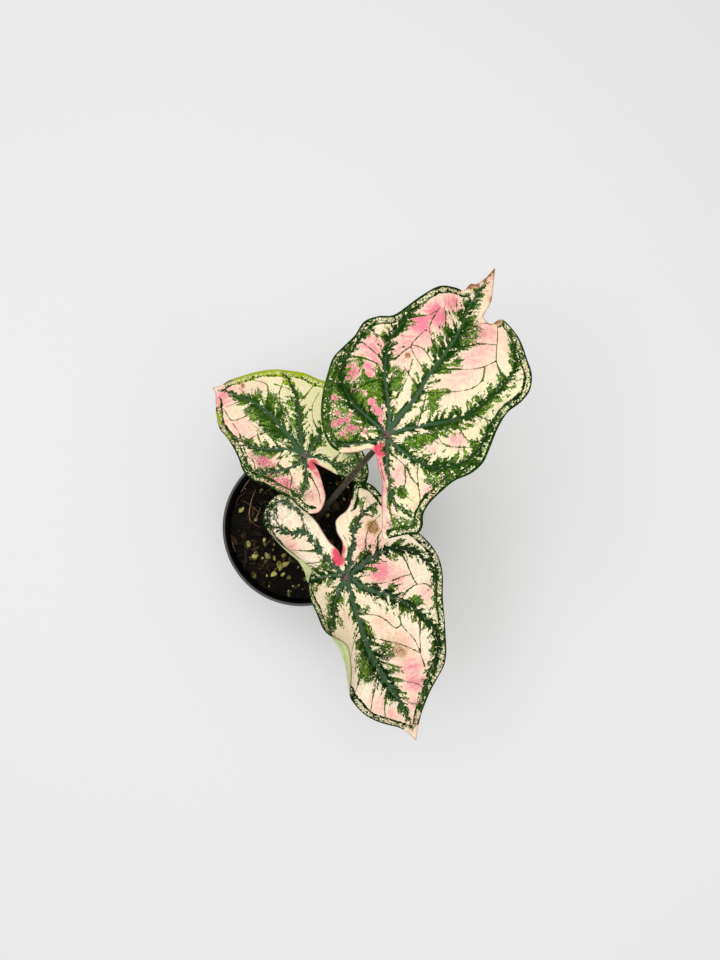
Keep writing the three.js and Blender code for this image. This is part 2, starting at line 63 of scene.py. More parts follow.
# Each leaf is laid out flat first. u runs from the joint with the petiole along the midrib to the tip,
# v runs to the left of the midrib, and lift raises the waved edge off the blade.
# heading and pitch aim the midrib, and the stages (length, angle) bend it and the two halves of the blade,
# in degrees. The halves fold from their second to their third number over fold_range, and back again over
# relax_range. rise and lean place the bend of the petiole, between its foot on the tuber and the joint.
LEAVES = {
    "tall_leaf": {
        "joint": (50.4, 43.7, 195),
        "heading": 57,
        "pitch": 9,
        "tip_bend": ((40, 2), (70, -24)),
        "back_bend": ((60, -18),),
        "left_fold": ((15, 11, 13), (45, -8, -18)),
        "right_fold": ((15, 10, 13), (45, -8, -16)),
        "fold_range": (-20, 20),
        "relax_range": (60, 120),
        "foot": (3, -2),
        "rise": 0.62,
        "lean": 0.34,
        "right": (
            (-10.4, 0.3, 0), (-16, -5, 1), (-20.5, -10.2, 1), (-28.5, -15.2, 0), (-36, -20, -1),
            (-43.5, -25.6, -2), (-40.5, -29, -2), (-36, -33.5, -2), (-32.5, -38, -1), (-28.5, -37.9, 1),
            (-24.5, -35.4, 2.5), (-18.5, -34.9, 2), (-8.8, -37, -1), (-1.1, -39.7, -2.5),
            (5.5, -44.2, -1), (12.5, -46, 2), (21, -45, 2.5), (32, -43.8, 0), (43, -44.1, -2),
            (50.5, -46.7, -1), (56.5, -46.9, 2), (64, -43.9, 2.5), (72.5, -37.5, 0),
            (81.5, -29.5, -1.5), (86, -21.2, -1), (86.5, -16.4, 0), (84.5, -14.8, 0), (81, -13.6, 0.5),
            (79.5, -12, 1), (82, -7.4, 1), (88, -7, 0), (94, -6.6, 0), (105, -3.2, 0), (121, 2.1, 0),
        ),
        "left": (
            (121, 2.1, 0), (107.5, 3.4, 0), (99.5, 5.3, 0.5), (96.5, 7.9, 1), (94, 8.3, 0.5),
            (90.5, 8.6, 0.5), (86.5, 13.5, 2), (80, 20.4, 3), (71.5, 24.8, 0), (61.5, 28.2, -2),
            (53, 31.1, -1), (47, 36.5, 2), (40.5, 40.3, 3), (33, 41, 0), (25.5, 43.1, -2),
            (18.5, 44, -1.5), (8.8, 41.1, 1), (-2.5, 36.9, 2.5), (-10.4, 32.4, 0.5), (-17.5, 24.9, -2),
            (-20, 19.2, -1.5), (-19, 13, 1), (-14.2, 7, 1.5), (-10.6, 3.5, 0.5), (-10.4, 0.3, 0),
        ),
        # Stretches of the edge, by outline point, that stay plain cream with no green margin.
        "plain_right": ((0, 5), (26, 33)),
        "plain_left": ((0, 5), (21, 24)),
    },
    "back_leaf": {
        "joint": (5.7, 38.7, 142),
        "heading": 143,
        "pitch": 8,
        "tip_bend": ((35, -10), (50, -26)),
        "back_bend": ((45, -24),),
        "left_fold": ((12, 8, 12), (35, 0, 2)),
        "right_fold": ((12, 6, 12), (35, -4, 0)),
        "fold_range": (-20, 20),
        "relax_range": (60, 120),
        "foot": (-3.5, 3.5),
        "rise": 0.5,
        "lean": 0.3,
        "right": (
            (-5, -0.4, 0), (-8.7, -1, 0), (-13, -1.8, 0), (-18, -2.7, 0), (-23, -3.6, 0),
            (-28, -4.6, -1), (-34.5, -6.3, -2), (-36.7, -8.6, -1.5), (-35, -13.5, 0), (-31, -18, 1),
            (-25.5, -21.5, 1.5), (-18.5, -25, 0), (-11, -30.5, -1.5), (-4, -37, -1), (3.5, -41.5, 1),
            (10.5, -42, 1.5), (19.5, -40, 0), (29, -38.5, -1.5), (37, -35, -1), (44.5, -30.5, 1),
            (52.5, -24, 2), (62, -16, 1), (69, -10, 0), (72.6, -4.8, 0), (76.7, -0.9, 0),
        ),
        "left": (
            (76.7, -0.9, 0), (72, 1, 0), (65.5, 6, 1), (58, 12, 1.5), (51.5, 16.3, 0),
            (44.6, 17.7, -1.5), (37, 20, -1), (28.5, 23.5, 1), (20.5, 27.7, 2), (13.5, 28.3, 1.5),
            (7, 25.6, 0), (0, 24.6, -2), (-7, 23.2, -1), (-14.7, 24.3, 1.5), (-19.4, 24.2, 1.5),
            (-23, 22.8, 0.5), (-25.4, 19.5, 0), (-25, 15, 0), (-23, 10.5, 0), (-19.5, 7.5, 0),
            (-15, 4, 0), (-11, 1.4, 0), (-7.6, 0.2, 0), (-5, -0.4, 0),
        ),
        "plain_right": ((0, 3), (23, 24)),
        "plain_left": ((0, 2), (15, 23)),
    },
    "front_leaf": {
        "joint": (28.6, -28.6, 138),
        "heading": -66.5,
        "pitch": 5,
        "tip_bend": ((50, -8), (60, -26)),
        "back_bend": ((70, -18),),
        "left_fold": ((15, 16, 8), (45, 12, -6)),
        "right_fold": ((13, 8, 48), (27, 16, 74)),
        "fold_range": (-26, 14),
        "relax_range": (24, 66),
        # u of the middle, half length and angle of each stretch of the right edge that rolls over.
        "edge_rolls": ((-21, 27, 235), (41, 29, 175)),
        # The inner edge of the left lobe swings in at its neck: u, v, reach and shift of v.
        "sway": (-17, 7, 9, 3.2),
        "foot": (-3.5, -6),
        "rise": 0.5,
        "lean": 0.3,
        "right": (
            (-10.8, 2.3, 0), (-14.2, 1.8, 0.5), (-18.4, 0.6, 1), (-22.5, -0.6, 1), (-26.6, -1.4, 0.5),
            (-31.3, -2, 0), (-36, -2.8, -1), (-40.5, -4.5, -1.5), (-46, -7.5, -1), (-51.3, -9.3, 0),
            (-54.8, -11.8, 1), (-57, -15, 1), (-57, -19.5, 0), (-55, -24, -1), (-51.5, -27.5, -1),
            (-46.5, -29.7, 0), (-40.7, -30.9, 1.5), (-35, -30.5, 2), (-30, -29, 1), (-22, -27.5, 0),
            (-14, -28, 0), (-6, -28, 0), (3, -27.5, 0), (12, -30, 0), (21, -33.5, 0), (30, -33, 0),
            (39, -29.5, 0), (48, -26.5, 0), (57, -25.5, 0), (65, -24.8, 0), (72, -23.5, 0),
            (79, -21, 0), (85, -17, 1), (91, -12, 1), (96.5, -7.5, 0), (102.3, -4, 0), (112.1, -0.9, 0),
        ),
        "left": (
            (112.1, -0.9, 0), (104, 3, 0), (95, 8.2, 0), (86, 14.3, 1), (79, 20, 1), (74.2, 25.6, -1),
            (68.7, 31.4, -2), (60.6, 36, 0), (52.6, 39, 2), (44.6, 41.7, 1.5), (37.6, 44, -1),
            (31, 46.6, -2), (23.2, 49.8, 0), (15.7, 51.7, 2), (9.3, 52.3, 2), (3.2, 51.7, 0),
            (-2.6, 49.6, -2), (-9.2, 46.3, -2), (-16.5, 43, 0), (-24, 40.4, 1.5), (-30.2, 38.8, 1),
            (-35.2, 37.1, -0.5), (-39.4, 35.6, -1), (-42.8, 33, 0), (-44.9, 29.5, 1), (-44.7, 26, 1),
            (-40.4, 22.8, 0), (-36.1, 19.5, 0), (-33.5, 15.5, 0), (-32.5, 11, 0), (-30.7, 7.7, 0),
            (-27.5, 6.5, 0), (-23.5, 5.4, 0), (-19.5, 4.4, 0), (-15.5, 3.4, 0), (-12.5, 2.7, 0),
            (-10.8, 2.3, 0),
        ),
        "plain_right": ((0, 9), (35, 36)),
        "plain_left": ((0, 1), (27, 36)),
    },
}

# The veins of each leaf. A main vein has its line from the joint outwards, its width at the foot and at the
# end, and how far its dark green border reaches at even steps along it.
MAIN_VEINS = {
    "tall_leaf": {
        "midrib": (
            ((0, 0), (6.1, 0.6), (16.5, -0.3), (25.2, -1.3), (38.2, -0.7), (47.8, -1.2), (60.1, -1.6),
             (71.3, -0.7), (80.9, 1.1), (91.2, 1.8), (98.3, 1.9), (111, 2.4)),
            (2.9, 1), (0.3, 0.5, 1.5, 3, 4.2, 4.5, 2.5, 1.5, 0.6),
        ),
        "up": (
            ((0, 0), (8.9, 4.5), (16, 10.1), (23.5, 16.7), (29.6, 20.7), (36.6, 23.7), (42.2, 25.4),
             (50.3, 25.2), (58.5, 24.7), (67.6, 21.3)),
            (2, 1.1), (0.6, 1, 2.4, 2, 1.6, 3, 2.2, 2.2, 1),
        ),
        "back up": (
            ((0, 0), (1.5, 7.2), (2.3, 15.4), (3.3, 22.7), (6.6, 29), (11, 34.2), (17.5, 37.8),
             (22.7, 38.4), (34, 37.3), (43.1, 35.4)),
            (1.7, 0.9), (1, 2, 3, 3, 2, 1.2, 1, 0.8),
        ),
        "back": (
            ((0, 0), (-5.7, 3.6), (-10.4, 8.2), (-14.7, 13.7), (-16.8, 17.7)),
            (1.7, 0.7), (1, 2.5, 3, 2),
        ),
        "front": (
            ((0, 0), (4.5, -2.6), (11.5, -9.7), (17.7, -16.4), (23.8, -23), (31.8, -28.5), (40.6, -31.7),
             (48.6, -34), (56.3, -35.1), (63.5, -35.3), (70.2, -32.2), (77, -27.7), (81.9, -22.7)),
            (1.9, 0.9), (0.3, 1.5, 4, 3.4, 2.6, 2, 2.4, 1.4, 1.4, 1),
        ),
        "low front": (
            ((0, 0), (-2, -5.6), (-3.1, -12.4), (-3.2, -19.8), (-1.4, -26.8), (2.8, -33.3), (8.3, -38.5),
             (14.9, -40.8), (23.5, -40.9), (32.9, -40), (39.9, -40.5)),
            (1.7, 0.9), (0.6, 2.4, 3, 2.6, 3, 2.2, 1.6, 1),
        ),
        "lobe": (
            ((0, 0), (-4, -2.6), (-9.7, -5.7), (-15.5, -9.9), (-20.9, -14.8), (-26.6, -20.2),
             (-26.2, -26.2), (-27.2, -30.8)),
            (1.7, 0.8), (0.6, 2, 1.6, 1, 1.6, 1.4, 1),
        ),
    },
    "back_leaf": {
        "midrib": (
            ((0, 0), (5.8, -1.3), (13.7, -4.2), (22.6, -5.9), (32, -8), (40.8, -8.4), (49.2, -7.4),
             (57.3, -5.6), (63.4, -4.4), (67.6, -3.3)),
            (3.2, 1), (1, 2.5, 5, 6, 5, 4, 2.4, 1.4, 0.6),
        ),
        "up": (
            ((0, 0), (8.1, -7.4), (12.9, -13), (18.1, -19), (23.6, -24.3), (29.3, -27.5), (34.6, -30.4),
             (37.7, -31.3)),
            (2.4, 1.2), (0.8, 1.6, 2.4, 2.4, 1.6, 1, 1),
        ),
        "across": (
            ((0, 0), (-1, -3.7), (0.2, -10.5), (-0.4, -16.1), (-0.6, -23.9), (-0.1, -31.1)),
            (2, 0.8), (0.8, 2, 3, 2.2, 2),
        ),
        "far lobe": (
            ((0, 0), (-4.5, -3.2), (-9.8, -5.6), (-15.6, -6.9), (-19.6, -9.3), (-23.3, -12.8),
             (-24.9, -17.1)),
            (1.8, 0.7), (1, 1.4, 1.6, 1.2, 0.8),
        ),
        "near side": (
            ((0, 0), (8.1, 1.1), (13.6, 4.3), (18.7, 8.1), (24, 11.2), (30.3, 13.6), (37.2, 14.4),
             (42.2, 16.1)),
            (2, 0.9), (1.4, 2.4, 2.6, 2, 1.4, 1),
        ),
        "low side": (
            ((0, 0), (0.2, 4.8), (2.5, 9.7), (6.2, 15), (11.3, 20.2), (15.9, 23.4), (19.9, 24.2),
             (25.6, 21.7)),
            (2, 0.8), (0.8, 1.4, 1.6, 1.4, 1, 0.6),
        ),
        "near lobe": (
            ((0, 0), (-4.2, 3.8), (-8.2, 8.6), (-10.9, 13.3), (-11.9, 17.6), (-10.2, 21.1)),
            (1.8, 0.7), (0.8, 1, 1, 0.8),
        ),
    },
    "front_leaf": {
        "midrib": (
            ((0, 0), (6.3, -0.3), (17.4, -1.7), (28.8, -2.9), (39.2, -4.1), (50.4, -3.8), (61.6, -2.9),
             (71.7, -1.5), (81.5, -0.1), (92.2, 0.3), (102.5, 0.4)),
            (2.5, 1.6), (0.5, 1, 1.8, 2.6, 5, 4.5, 3.4, 2, 1, 0.4),
        ),
        "right": (
            ((0, 0), (6.7, 5.6), (13.4, 11.1), (18.1, 17.5), (23.4, 22.6), (29.3, 27.7), (35.4, 31.1),
             (41.6, 34), (49.9, 34.2), (58.3, 31.7), (65.3, 26.8), (71.8, 20.7), (81, 14.7), (90.7, 8.6)),
            (1.9, 0.7), (0.5, 1.8, 3.4, 2.8, 2.2, 1.6, 1.2, 1.2, 0.8),
        ),
        "right up": (
            ((0, 0), (-0.7, 5.6), (-3.4, 14.3), (-4.9, 23.4), (-4.2, 31.5), (-1.2, 37.4), (3.8, 42.6),
             (10.2, 46.2), (17.9, 46.6), (28.1, 43.4), (36.8, 39.7)),
            (2.1, 0.7), (1.2, 2.8, 3, 2, 1.4, 1, 0.8, 0.8),
        ),
        "right lobe": (
            ((0, 0), (-4.4, 4.4), (-12.9, 8.2), (-21.2, 14.7), (-25.6, 18.8), (-28.9, 26), (-30.3, 33)),
            (1.9, 1), (0.4, 1, 1.2, 1, 0.6),
        ),
        "left lobe": (
            ((0, 0), (-7.7, -3), (-16.2, -5.8), (-24.7, -8.3), (-32, -10.6), (-33.6, -17.5), (-38.9, -22.2),
             (-42.3, -28.1)),
            (2, 0.8), (0.5, 0.7, 0.8, 1.2, 0.9, 1),
        ),
        "lobe loop": (
            ((-38.9, -22.2), (-46, -23), (-50.2, -21.9), (-53.2, -20.5), (-53.4, -16.1), (-50.6, -13.4),
             (-46, -10.6), (-40, -9.2), (-33, -10)),
            (0.6, 0.3), (0.2, 0.25, 0.15),
        ),
        "lobe edge": (
            ((-41.4, -26.5), (-45.1, -27.4), (-49.1, -26.5), (-52.3, -23.8)),
            (0.4, 0.3), (0.2, 0.2),
        ),
        "lobe rung": (
            ((-48.4, -27), (-47.4, -22.8)),
            (0.4, 0.3), (0.2, 0.2),
        ),
        "left": (
            ((0, 0), (-4.6, -7.9), (-6.7, -19), (-8.4, -26.3)),
            (1.6, 0.7), (1.2, 3.2, 3.4, 2),
        ),
        "low left": (
            ((0, 0), (4.5, -4.2), (10.2, -11.9), (16.8, -19.1), (21.8, -27.9)),
            (1.8, 0.8), (0.8, 2.6, 3, 2.4),
        ),
    },
}

# The fine side veins: dark hairlines that leave a main vein and loop into each other near the margin.
FINE_VEINS = {
    "tall_leaf": (
        ((56.1, 25.1), (57.8, 22.9), (63.1, 16.9), (64.5, 15.8), (67.9, 14.9)),
        ((49, 0), (52.1, 5.7), (54.5, 8.7), (58.1, 12.6), (64.3, 13.9), (70.8, 14.2)),
        ((71, -0.6), (73.3, 2.8), (79.3, 7.5), (82.4, 9.3)),
        ((36.5, -0.5), (39.9, 5.3), (41.1, 9.3), (43.3, 13.3), (45.3, 15.1), (52, 14.4), (56.5, 13.3)),
        ((33, 22.5), (34.2, 18.4), (38.7, 16.9), (44.9, 14.8)),
        ((44, -0.8), (45.3, 2.4), (47.2, 10), (45.3, 15.1)),
        ((30, -0.8), (31.9, 7.2), (33.8, 11.9)),
        ((61, -1.4), (63.1, 5.1), (66.8, 7), (72.1, 11.5)),
        ((23.6, 38), (25.8, 28.9), (27.8, 20)),
        ((40.7, 35.5), (39.1, 33.4), (39.6, 29.7), (42.3, 25.4)),
        ((56, -1.5), (62.3, -9.6), (66.7, -14), (70.7, -21)),
        ((42, -1), (50.9, -16), (55.1, -21.2), (59.6, -24), (62, -25.1)),
        ((81.3, -16.3), (73, -20.4), (66.4, -23.2), (62.2, -25.5), (58.8, -28.8), (55.2, -34.8)),
        ((27, -1), (34.8, -12.9), (38.6, -18.4), (43.5, -23.1), (49.1, -24.7), (53.1, -23.3), (55.7, -22.3)),
        ((70, -0.7), (74.9, -4.8), (79.7, -12.8)),
        ((24.5, -23.4), (21.2, -28.7), (18.8, -33), (18.7, -35.9), (23.1, -40.7)),
        ((17, -16), (10.9, -23.8), (10.6, -27.4), (13, -32.6), (18.3, -40.5)),
        ((-6.5, -3.8), (-8.4, -15.4), (-11.9, -21), (-13.8, -26.2), (-19.8, -31.1)),
        ((-8.5, -15.1), (-12.5, -18.1), (-16.9, -20.4), (-24, -18)),
        ((-3.2, -20), (-8.1, -22.1), (-13.3, -26.2)),
        ((-12, -2.6), (-17.2, -8), (-23.5, -15), (-30.1, -20.8), (-34.5, -24.7)),
        ((2.1, 14), (-4.8, 11.8), (-9.4, 12.4), (-14, 12)),
        ((23.5, 16.7), (15.3, 22.8), (5, 27)),
        ((12, 7), (22.2, 6.7), (30.7, 7.9), (39.5, 10.5)),
        ((30.5, 21), (31, 30), (32, 37.5)),
        ((31.8, -28.5), (33, -35), (35, -41)),
        ((12, -9.7), (20, -7.5), (28, -5)),
        ((-18, -12.4), (-20, -20), (-21, -28)),
    ),
    "back_leaf": (
        ((36, -8.2), (39.2, -16.9), (43.1, -21), (49.5, -19.5), (54.7, -18.3)),
        ((38, -8.4), (42.5, -1.5), (45.4, 4.3), (48.8, 8.2), (55.2, 6.6), (59.1, 5.7), (62.6, 7.1)),
        ((59.3, 10.1), (52.1, 13.2), (44.8, 14.9), (38.2, 15.3)),
        ((46.8, 9.4), (40.6, 11), (36.2, 14.2)),
        ((58.3, 3.6), (56.1, -0.2), (52, -7)),
        ((34.8, 14.2), (27.3, 18.8), (20.9, 19.6), (16.1, 23.4)),
        ((39, -23.6), (32.1, -25.8), (27.3, -26.7)),
        ((21, -22), (19.9, -27.7), (19.6, -35.2)),
        ((-6, 5.4), (-13.8, 8.4), (-18.9, 11.2), (-22.8, 15)),
        ((-15.6, -6.9), (-14.7, -12.1), (-16.3, -17.5)),
        ((-19.6, -9.3), (-24.2, -6), (-28.5, -5)),
        ((22, -5.8), (27, -14), (33, -20), (36, -28)),
        ((12, -4), (17, -9), (24, -13), (27, -20)),
        ((24, -6), (27, 2), (31, 8), (33, 14)),
        ((-0.5, -16), (7, -19), (13, -26), (14, -34)),
        ((-0.5, -20), (-8, -20), (-14, -25)),
        ((3, 10.5), (-2, 14), (-6, 20), (-10, 21)),
        ((9, 2), (10, 8), (9, 14), (12, 19)),
    ),
    "front_leaf": (
        ((-3, 34), (3, 34.9), (12.6, 34.9), (19.2, 35.7), (21.1, 40.1), (27.3, 43.2)),
        ((19.2, 35.7), (20.1, 30.7), (24.2, 23.5)),
        ((8, 7), (11.8, 20.8), (12, 30), (12.9, 34.8)),
        ((23.6, 22.3), (37.2, 18.8), (47.9, 22.1), (55.4, 22.2), (65, 21.5)),
        ((22, -2), (27.1, 8), (32.4, 12), (37.8, 14.9), (37.2, 18.8)),
        ((34, -3.6), (41.4, 5.1), (46.9, 13.2), (55.7, 21.7)),
        ((35.6, 31), (47.1, 25.6), (55.7, 22.6)),
        ((60, -3), (69.8, 8.1), (72.9, 13.3), (78.6, 16.4)),
        ((76, -1), (84.9, 5.6), (88.3, 9.8)),
        ((57, -3.3), (70.7, -13.6), (78.6, -18.6)),
        ((69, -2), (79.4, -9.5), (86, -11.6)),
        ((30, -3), (36, -12), (45, -19), (52, -23)),
        ((44, -4), (54, -14), (62, -21)),
        ((-10, 5.5), (-16.9, 5.6), (-21.7, 6.8)),
        ((-25.6, 18.8), (-30.8, 24.4), (-35.6, 29.1)),
        ((-32, -10.6), (-38.9, -9.5), (-46.1, -9)),
        ((-20, -7), (-22, -14), (-26, -22)),
        ((-12, -4.4), (-14, -12), (-17, -22)),
        ((-4.5, 23), (-13, 26), (-18, 34)),
        ((-4, 17), (-12, 18), (-20, 24), (-24, 33)),
    ),
}

# Patches on each leaf, as u, v, reach and strength: floods of green, pink blotches, the hot pink notch,
# brown spots, lime margin, dense net, young yellowish leaf, and the whitest leaf.
PATCHES = {
    "tall_leaf": {
        "flood": (
            (9, 28, 17, 1.3), (15, 19, 11, 1.2), (-5, 26, 16, 1), (-10, 16, 9, 0.85), (6, 14, 9, 1),
            (24, 11, 6, 0.9), (29, 13, 5, 0.7), (2, 12, 9, 0.75), (5, -14, 6, 1), (9, -17, 5, 0.9),
            (-6, -31, 8, 0.9), (-1, -34, 6, 0.8), (30, -9, 4.5, 0.9), (35, -13, 3, 0.8),
            (24.5, -11, 4, 0.9), (21, -8, 3, 0.8), (-20.5, -21.5, 3.2, 1.2), (-19, -20, 2.5, 1.1),
            (3.6, -10, 3.2, 1), (5.9, -14.5, 4, 1.1), (8.3, -17.6, 4, 1.1), (11.4, -19.7, 3, 1),
            (63, 2.6, 4.5, 0.95), (57.8, 4.3, 3, 0.8), (74, -5, 4, 0.8), (70, -7.5, 5, 0.8),
            (64, -9, 4.5, 0.8), (60, -5, 5, 0.7), (52, -9, 4, 0.8), (16.6, -28, 1.7, 0.64),
            (19, -29.6, 1.7, 0.64), (77, 3, 4, 0.8), (50, 4, 4, 0.8), (-8, -5, 4, 0.6), (-33, -27, 5, 0.6),
            (-30, -33, 5, 0.6),
        ),
        "pink": (
            (15.5, 33, 6.5, 1.4), (23, 27, 3.6, 1.1), (20.6, 24, 3.4, 1.05), (9.4, 15.4, 3.6, 1.15),
            (7.4, 12.6, 3.4, 1.15), (7.3, 10.2, 3.4, 1.3), (4.8, 6.8, 3, 1.1), (2.3, 3.4, 2.4, 1),
            (-10, 24.3, 2.4, 1.6), (-7.2, 22.8, 2.2, 1.6), (-4.9, 20.8, 2.2, 1.6), (-2.1, 20.6, 2, 1.5),
            (-7.7, 17.1, 2.8, 1.7), (-6.8, 14.7, 2.4, 1.6), (-4.8, 10.5, 2, 1.3), (8.6, 26.1, 2.6, 1.4),
            (10.6, 21.6, 1.8, 1.4), (-0.2, 31.5, 3, 1.2), (-5.3, 26.1, 2.2, 1.3), (9.2, 10.9, 1.8, 0.9),
            (-12.5, 16.8, 5.5, 1.3), (31.8, 30, 10, 0.9), (28, 26, 7, 0.8), (45, 17, 11, 0.8),
            (38, 17, 9, 0.6), (57, 17, 9, 1.2), (66, 13, 9, 1.3), (78, 10, 8, 1), (109, 3, 9, 0.5),
            (98, 3, 8, 0.35), (73, -13.3, 10, 0.8), (64, -15, 9, 0.7), (57, -16, 9, 0.6), (47, -14, 9, 0.5),
            (15.5, -30, 5, 0.8), (6, -21, 5, 0.5), (-14, -33, 6, 0.7), (-13.9, -15, 7, 0.7),
            (38, -12, 9, 0.4), (52, 12, 7, 0.6), (-14, -4, 6, 1), (-18.5, -8.5, 6, 0.95),
            (-24, -12.5, 6, 0.85), (-31, -17.5, 6, 0.75), (-37, -22, 6, 0.6),
        ),
        "hot": ((-8.1, -0.8, 5.5, 1), (-12, -5, 4, 0.5)),
        "brown": (
            (39.6, 13.7, 1.7, 1.4), (95, 8.3, 3.5, 1.1), (99.5, 5.3, 3, 1), (107, 3.6, 3, 0.9),
            (113, 3, 3, 0.9), (120, 2, 7, 0.95), (84, -15, 3, 1.1), (96, -7, 4, 0.7), (97, 7.5, 4, 0.9),
            (80, -12, 2, 0.8), (26, 32, 2, 0.5),
        ),
        "net": (
            (-8, 33, 15, 1), (12, 39, 12, 1), (2, 30, 12, 0.7), (-10, 22, 11, 0.8), (-17, 22, 9, 0.9),
            (-36, -29, 9, 0.9), (24, 41, 8, 0.6), (-22, -33, 8, 0.5), (-4, -31, 8, 0.9), (8, -42, 7, 0.6),
            (60, 5, 6, 0.5), (69, -7, 9, 0.8),
        ),
        "fresh": (
            (-20, -32, 26, 0.8), (15, -38, 26, 0.8), (45, -38, 22, 0.7), (40, -3, 12, 0.6),
            (35, 8, 12, 0.6), (75, -30, 18, 0.5),
        ),
        "white": ((60, -16, 26, 0.5),),
    },
    "back_leaf": {
        "flood": (
            (30, -3, 8.5, 0.95), (22, -1, 7, 0.9), (38, -4, 7, 0.85), (27, -13, 7, 0.75),
            (35, -15, 7, 0.75), (45, -2, 5, 0.6), (17, 0, 4, 0.7), (45, -13, 6, 0.6), (15, -16, 4, 0.6),
            (25, -20, 4, 0.6), (-2, -12, 4, 0.8), (-26, -12, 11, 0.36), (-18, -20, 8, 0.34),
            (-10, 20, 8, 0.34), (0, 23, 7, 0.34),
        ),
        "pink": (
            (23.1, 16, 6, 0.7), (16.2, 15.6, 7, 1.1), (10, 15.6, 5, 0.8), (6.6, 21, 7, 1.1),
            (-1.6, 19.6, 8, 1.15), (-9.6, 18.5, 6, 0.7), (65, -2, 9, 0.9), (64, 3.5, 8, 0.9),
            (52.4, 13.7, 7, 0.7), (41, 9.7, 11, 0.55), (33, 8, 6, 0.45), (-17, 15, 6, 0.7),
            (-2, 25, 6, 0.9), (47, -17, 6, 0.4), (58, -10, 6, 0.6), (-9, 8, 4, 0.5), (-12, 3.5, 5, 0.9),
            (-17, 7, 5, 0.7), (-21.5, 10.5, 5, 0.6), (-23.5, 15, 5, 0.6), (-23, 20, 5, 0.6),
        ),
        "hot": ((-6.6, 0.6, 4.5, 1), (-11, 3, 3.5, 0.5)),
        "brown": ((57, -12.5, 2.2, 0.9),),
        "net": (
            (-30, -10, 13, 1), (-20, -19, 9, 0.9), (-8, -29, 9, 0.8), (10, -39, 9, 0.6), (25, -36, 9, 0.5),
            (30, 3, 8, 0.3), (25, 20, 8, 0.5), (-12, 19, 8, 1), (-3, 22, 8, 1), (8, 20, 9, 1),
            (20, 17, 8, 0.8),
        ),
        "fresh": ((15, -25, 40, 1), (45, -10, 30, 0.9), (-15, -12, 25, 1)),
        "white": ((50, 8, 20, 0.5),),
        "lime": (
            (20, -42, 16, 1), (38, -35, 14, 1), (3, -42, 14, 1), (52, -24, 12, 1), (62, -14, 8, 0.9),
            (57, 13, 8, 0.7), (45, 19, 8, 0.5), (68, 5, 5, 0.6),
        ),
    },
    "front_leaf": {
        "flood": (
            (38, -1, 5, 0.8), (46, -8.5, 6, 0.85), (38, -8, 5, 0.9), (54, -9, 6, 0.6), (50, 3, 5, 0.6),
            (-8, -20, 6, 0.85), (-10, -9, 5, 0.75), (12, 13, 5, 0.7), (17, 12, 5, 0.6), (22, 3, 4, 0.6),
            (58, 3, 5, 0.6), (-27, 30, 4, 0.7), (-33, 26, 4, 0.6), (13, -17, 6, 0.8), (20, -22, 5, 0.7),
            (8, -11, 4, 0.7), (1, 38, 3, 0.6), (-53, -14, 5, 0.36), (-54, -22, 5, 0.36),
            (-47, -29, 5, 0.34), (48, 5, 6, 0.5), (57, -10, 5, 0.5),
        ),
        "pink": (
            (4.5, 19.4, 10, 1.1), (-2.5, 14, 7, 0.9), (12.4, 25.1, 9, 0.7), (-27.5, -20.8, 6, 0.6),
            (-31.6, -22, 6, 0.5), (-11, 20.2, 10, 0.75), (-16, 15, 6, 0.6), (54.6, 13.5, 8, 0.5),
            (62, 15, 9, 0.9), (72, 13, 9, 0.95), (85.9, 8, 8, 0.7), (75.8, -13, 7, 0.6), (86.6, -8, 6, 0.7),
            (26, 38, 6, 0.6), (47, 17, 7, 0.55), (98, 3, 9, 0.6), (-24, 24, 7, 0.4), (32, 8, 8, 0.3),
            (20, -10, 6, 0.35),
        ),
        "hot": ((-10.3, 0.4, 5, 1.1), (-14.5, 1.6, 4.5, 1)),
        "brown": (
            (-19.4, 26, 4.6, 1.15), (50.8, 12, 7, 0.66), (44, 11, 11, 0.4), (31, 9, 8, 0.3),
            (25, 40, 1, 0.9), (53, 5, 1, 1),
        ),
        "lime": ((9.3, 8.3, 1.6, 1),),
        "net": (
            (-50, -20, 11, 1), (-42, -28, 8, 0.8), (-36, 33, 8, 0.8), (48, 5, 8, 1), (57, -10, 8, 1),
            (62, 3, 5, 0.8), (48, -13, 6, 0.7), (35, 44, 7, 0.5),
        ),
        "fresh": ((-40, -20, 14, 0.5), (15, -5, 16, 0.5), (30, 42, 14, 0.5)),
        "white": (
            (0, 25, 45, 1), (-30, -15, 30, 1), (-45, -18, 24, 1), (50, 15, 40, 0.9), (70, -10, 30, 0.9),
        ),
    },
}
PATCH_KINDS = ("flood", "pink", "hot", "brown", "lime", "net", "fresh", "white")
VEIN_FIELDS = ("core", "reach", "lines", "margin", "plain")

# How a blade is laid out and rolled over.
BLADE = {
    "spacing": 0.85,  # between the points of its mesh
    "jitter": 0.15,  # how far a point strays from its place in the rows, in spacings
    "row": 0.866,  # distance of the rows, in spacings
    "clear": 0.55,  # how near to the edge or a vein a free point may lie, in spacings
    "edge_steps": 5,  # mesh points for each point of the outline
    "main_steps": 6,  # and of a main vein
    "fine_steps": 4,  # and of a fine vein
    "top": 0.2,  # the upper face lies this far above the laid-out surface
    "lift_power": 3,  # how late the waved edge rises on the way out from the joint
    "roll_strip": 11,  # width of the strip of edge that rolls over
    "roll_share": 0.6,  # the most of the way out from the joint that the strip takes up
    "roll_beyond": (8, 18),  # the roll grows to its full angle over this stretch right of the midrib
    "collective": 3.6,  # how far inside the margin the collective vein runs
    "sunk": 0.1,  # how far the top of the petiole lies under the laid-out surface
}
NO_VEIN = 99.0  # distance to a vein where there is none
NO_BORDER = 9.0  # distance in border widths where there is no border
FOOT_HEIGHT = 63.1  # the petioles start here, just above the tuber

# How finely the other pieces are divided, and which edges of the pot stay sharp.
PETIOLE_CUTS, SPIN_STEPS, DRAIN_SIDES = 29, 144, 40
SHARP = math.radians(32)
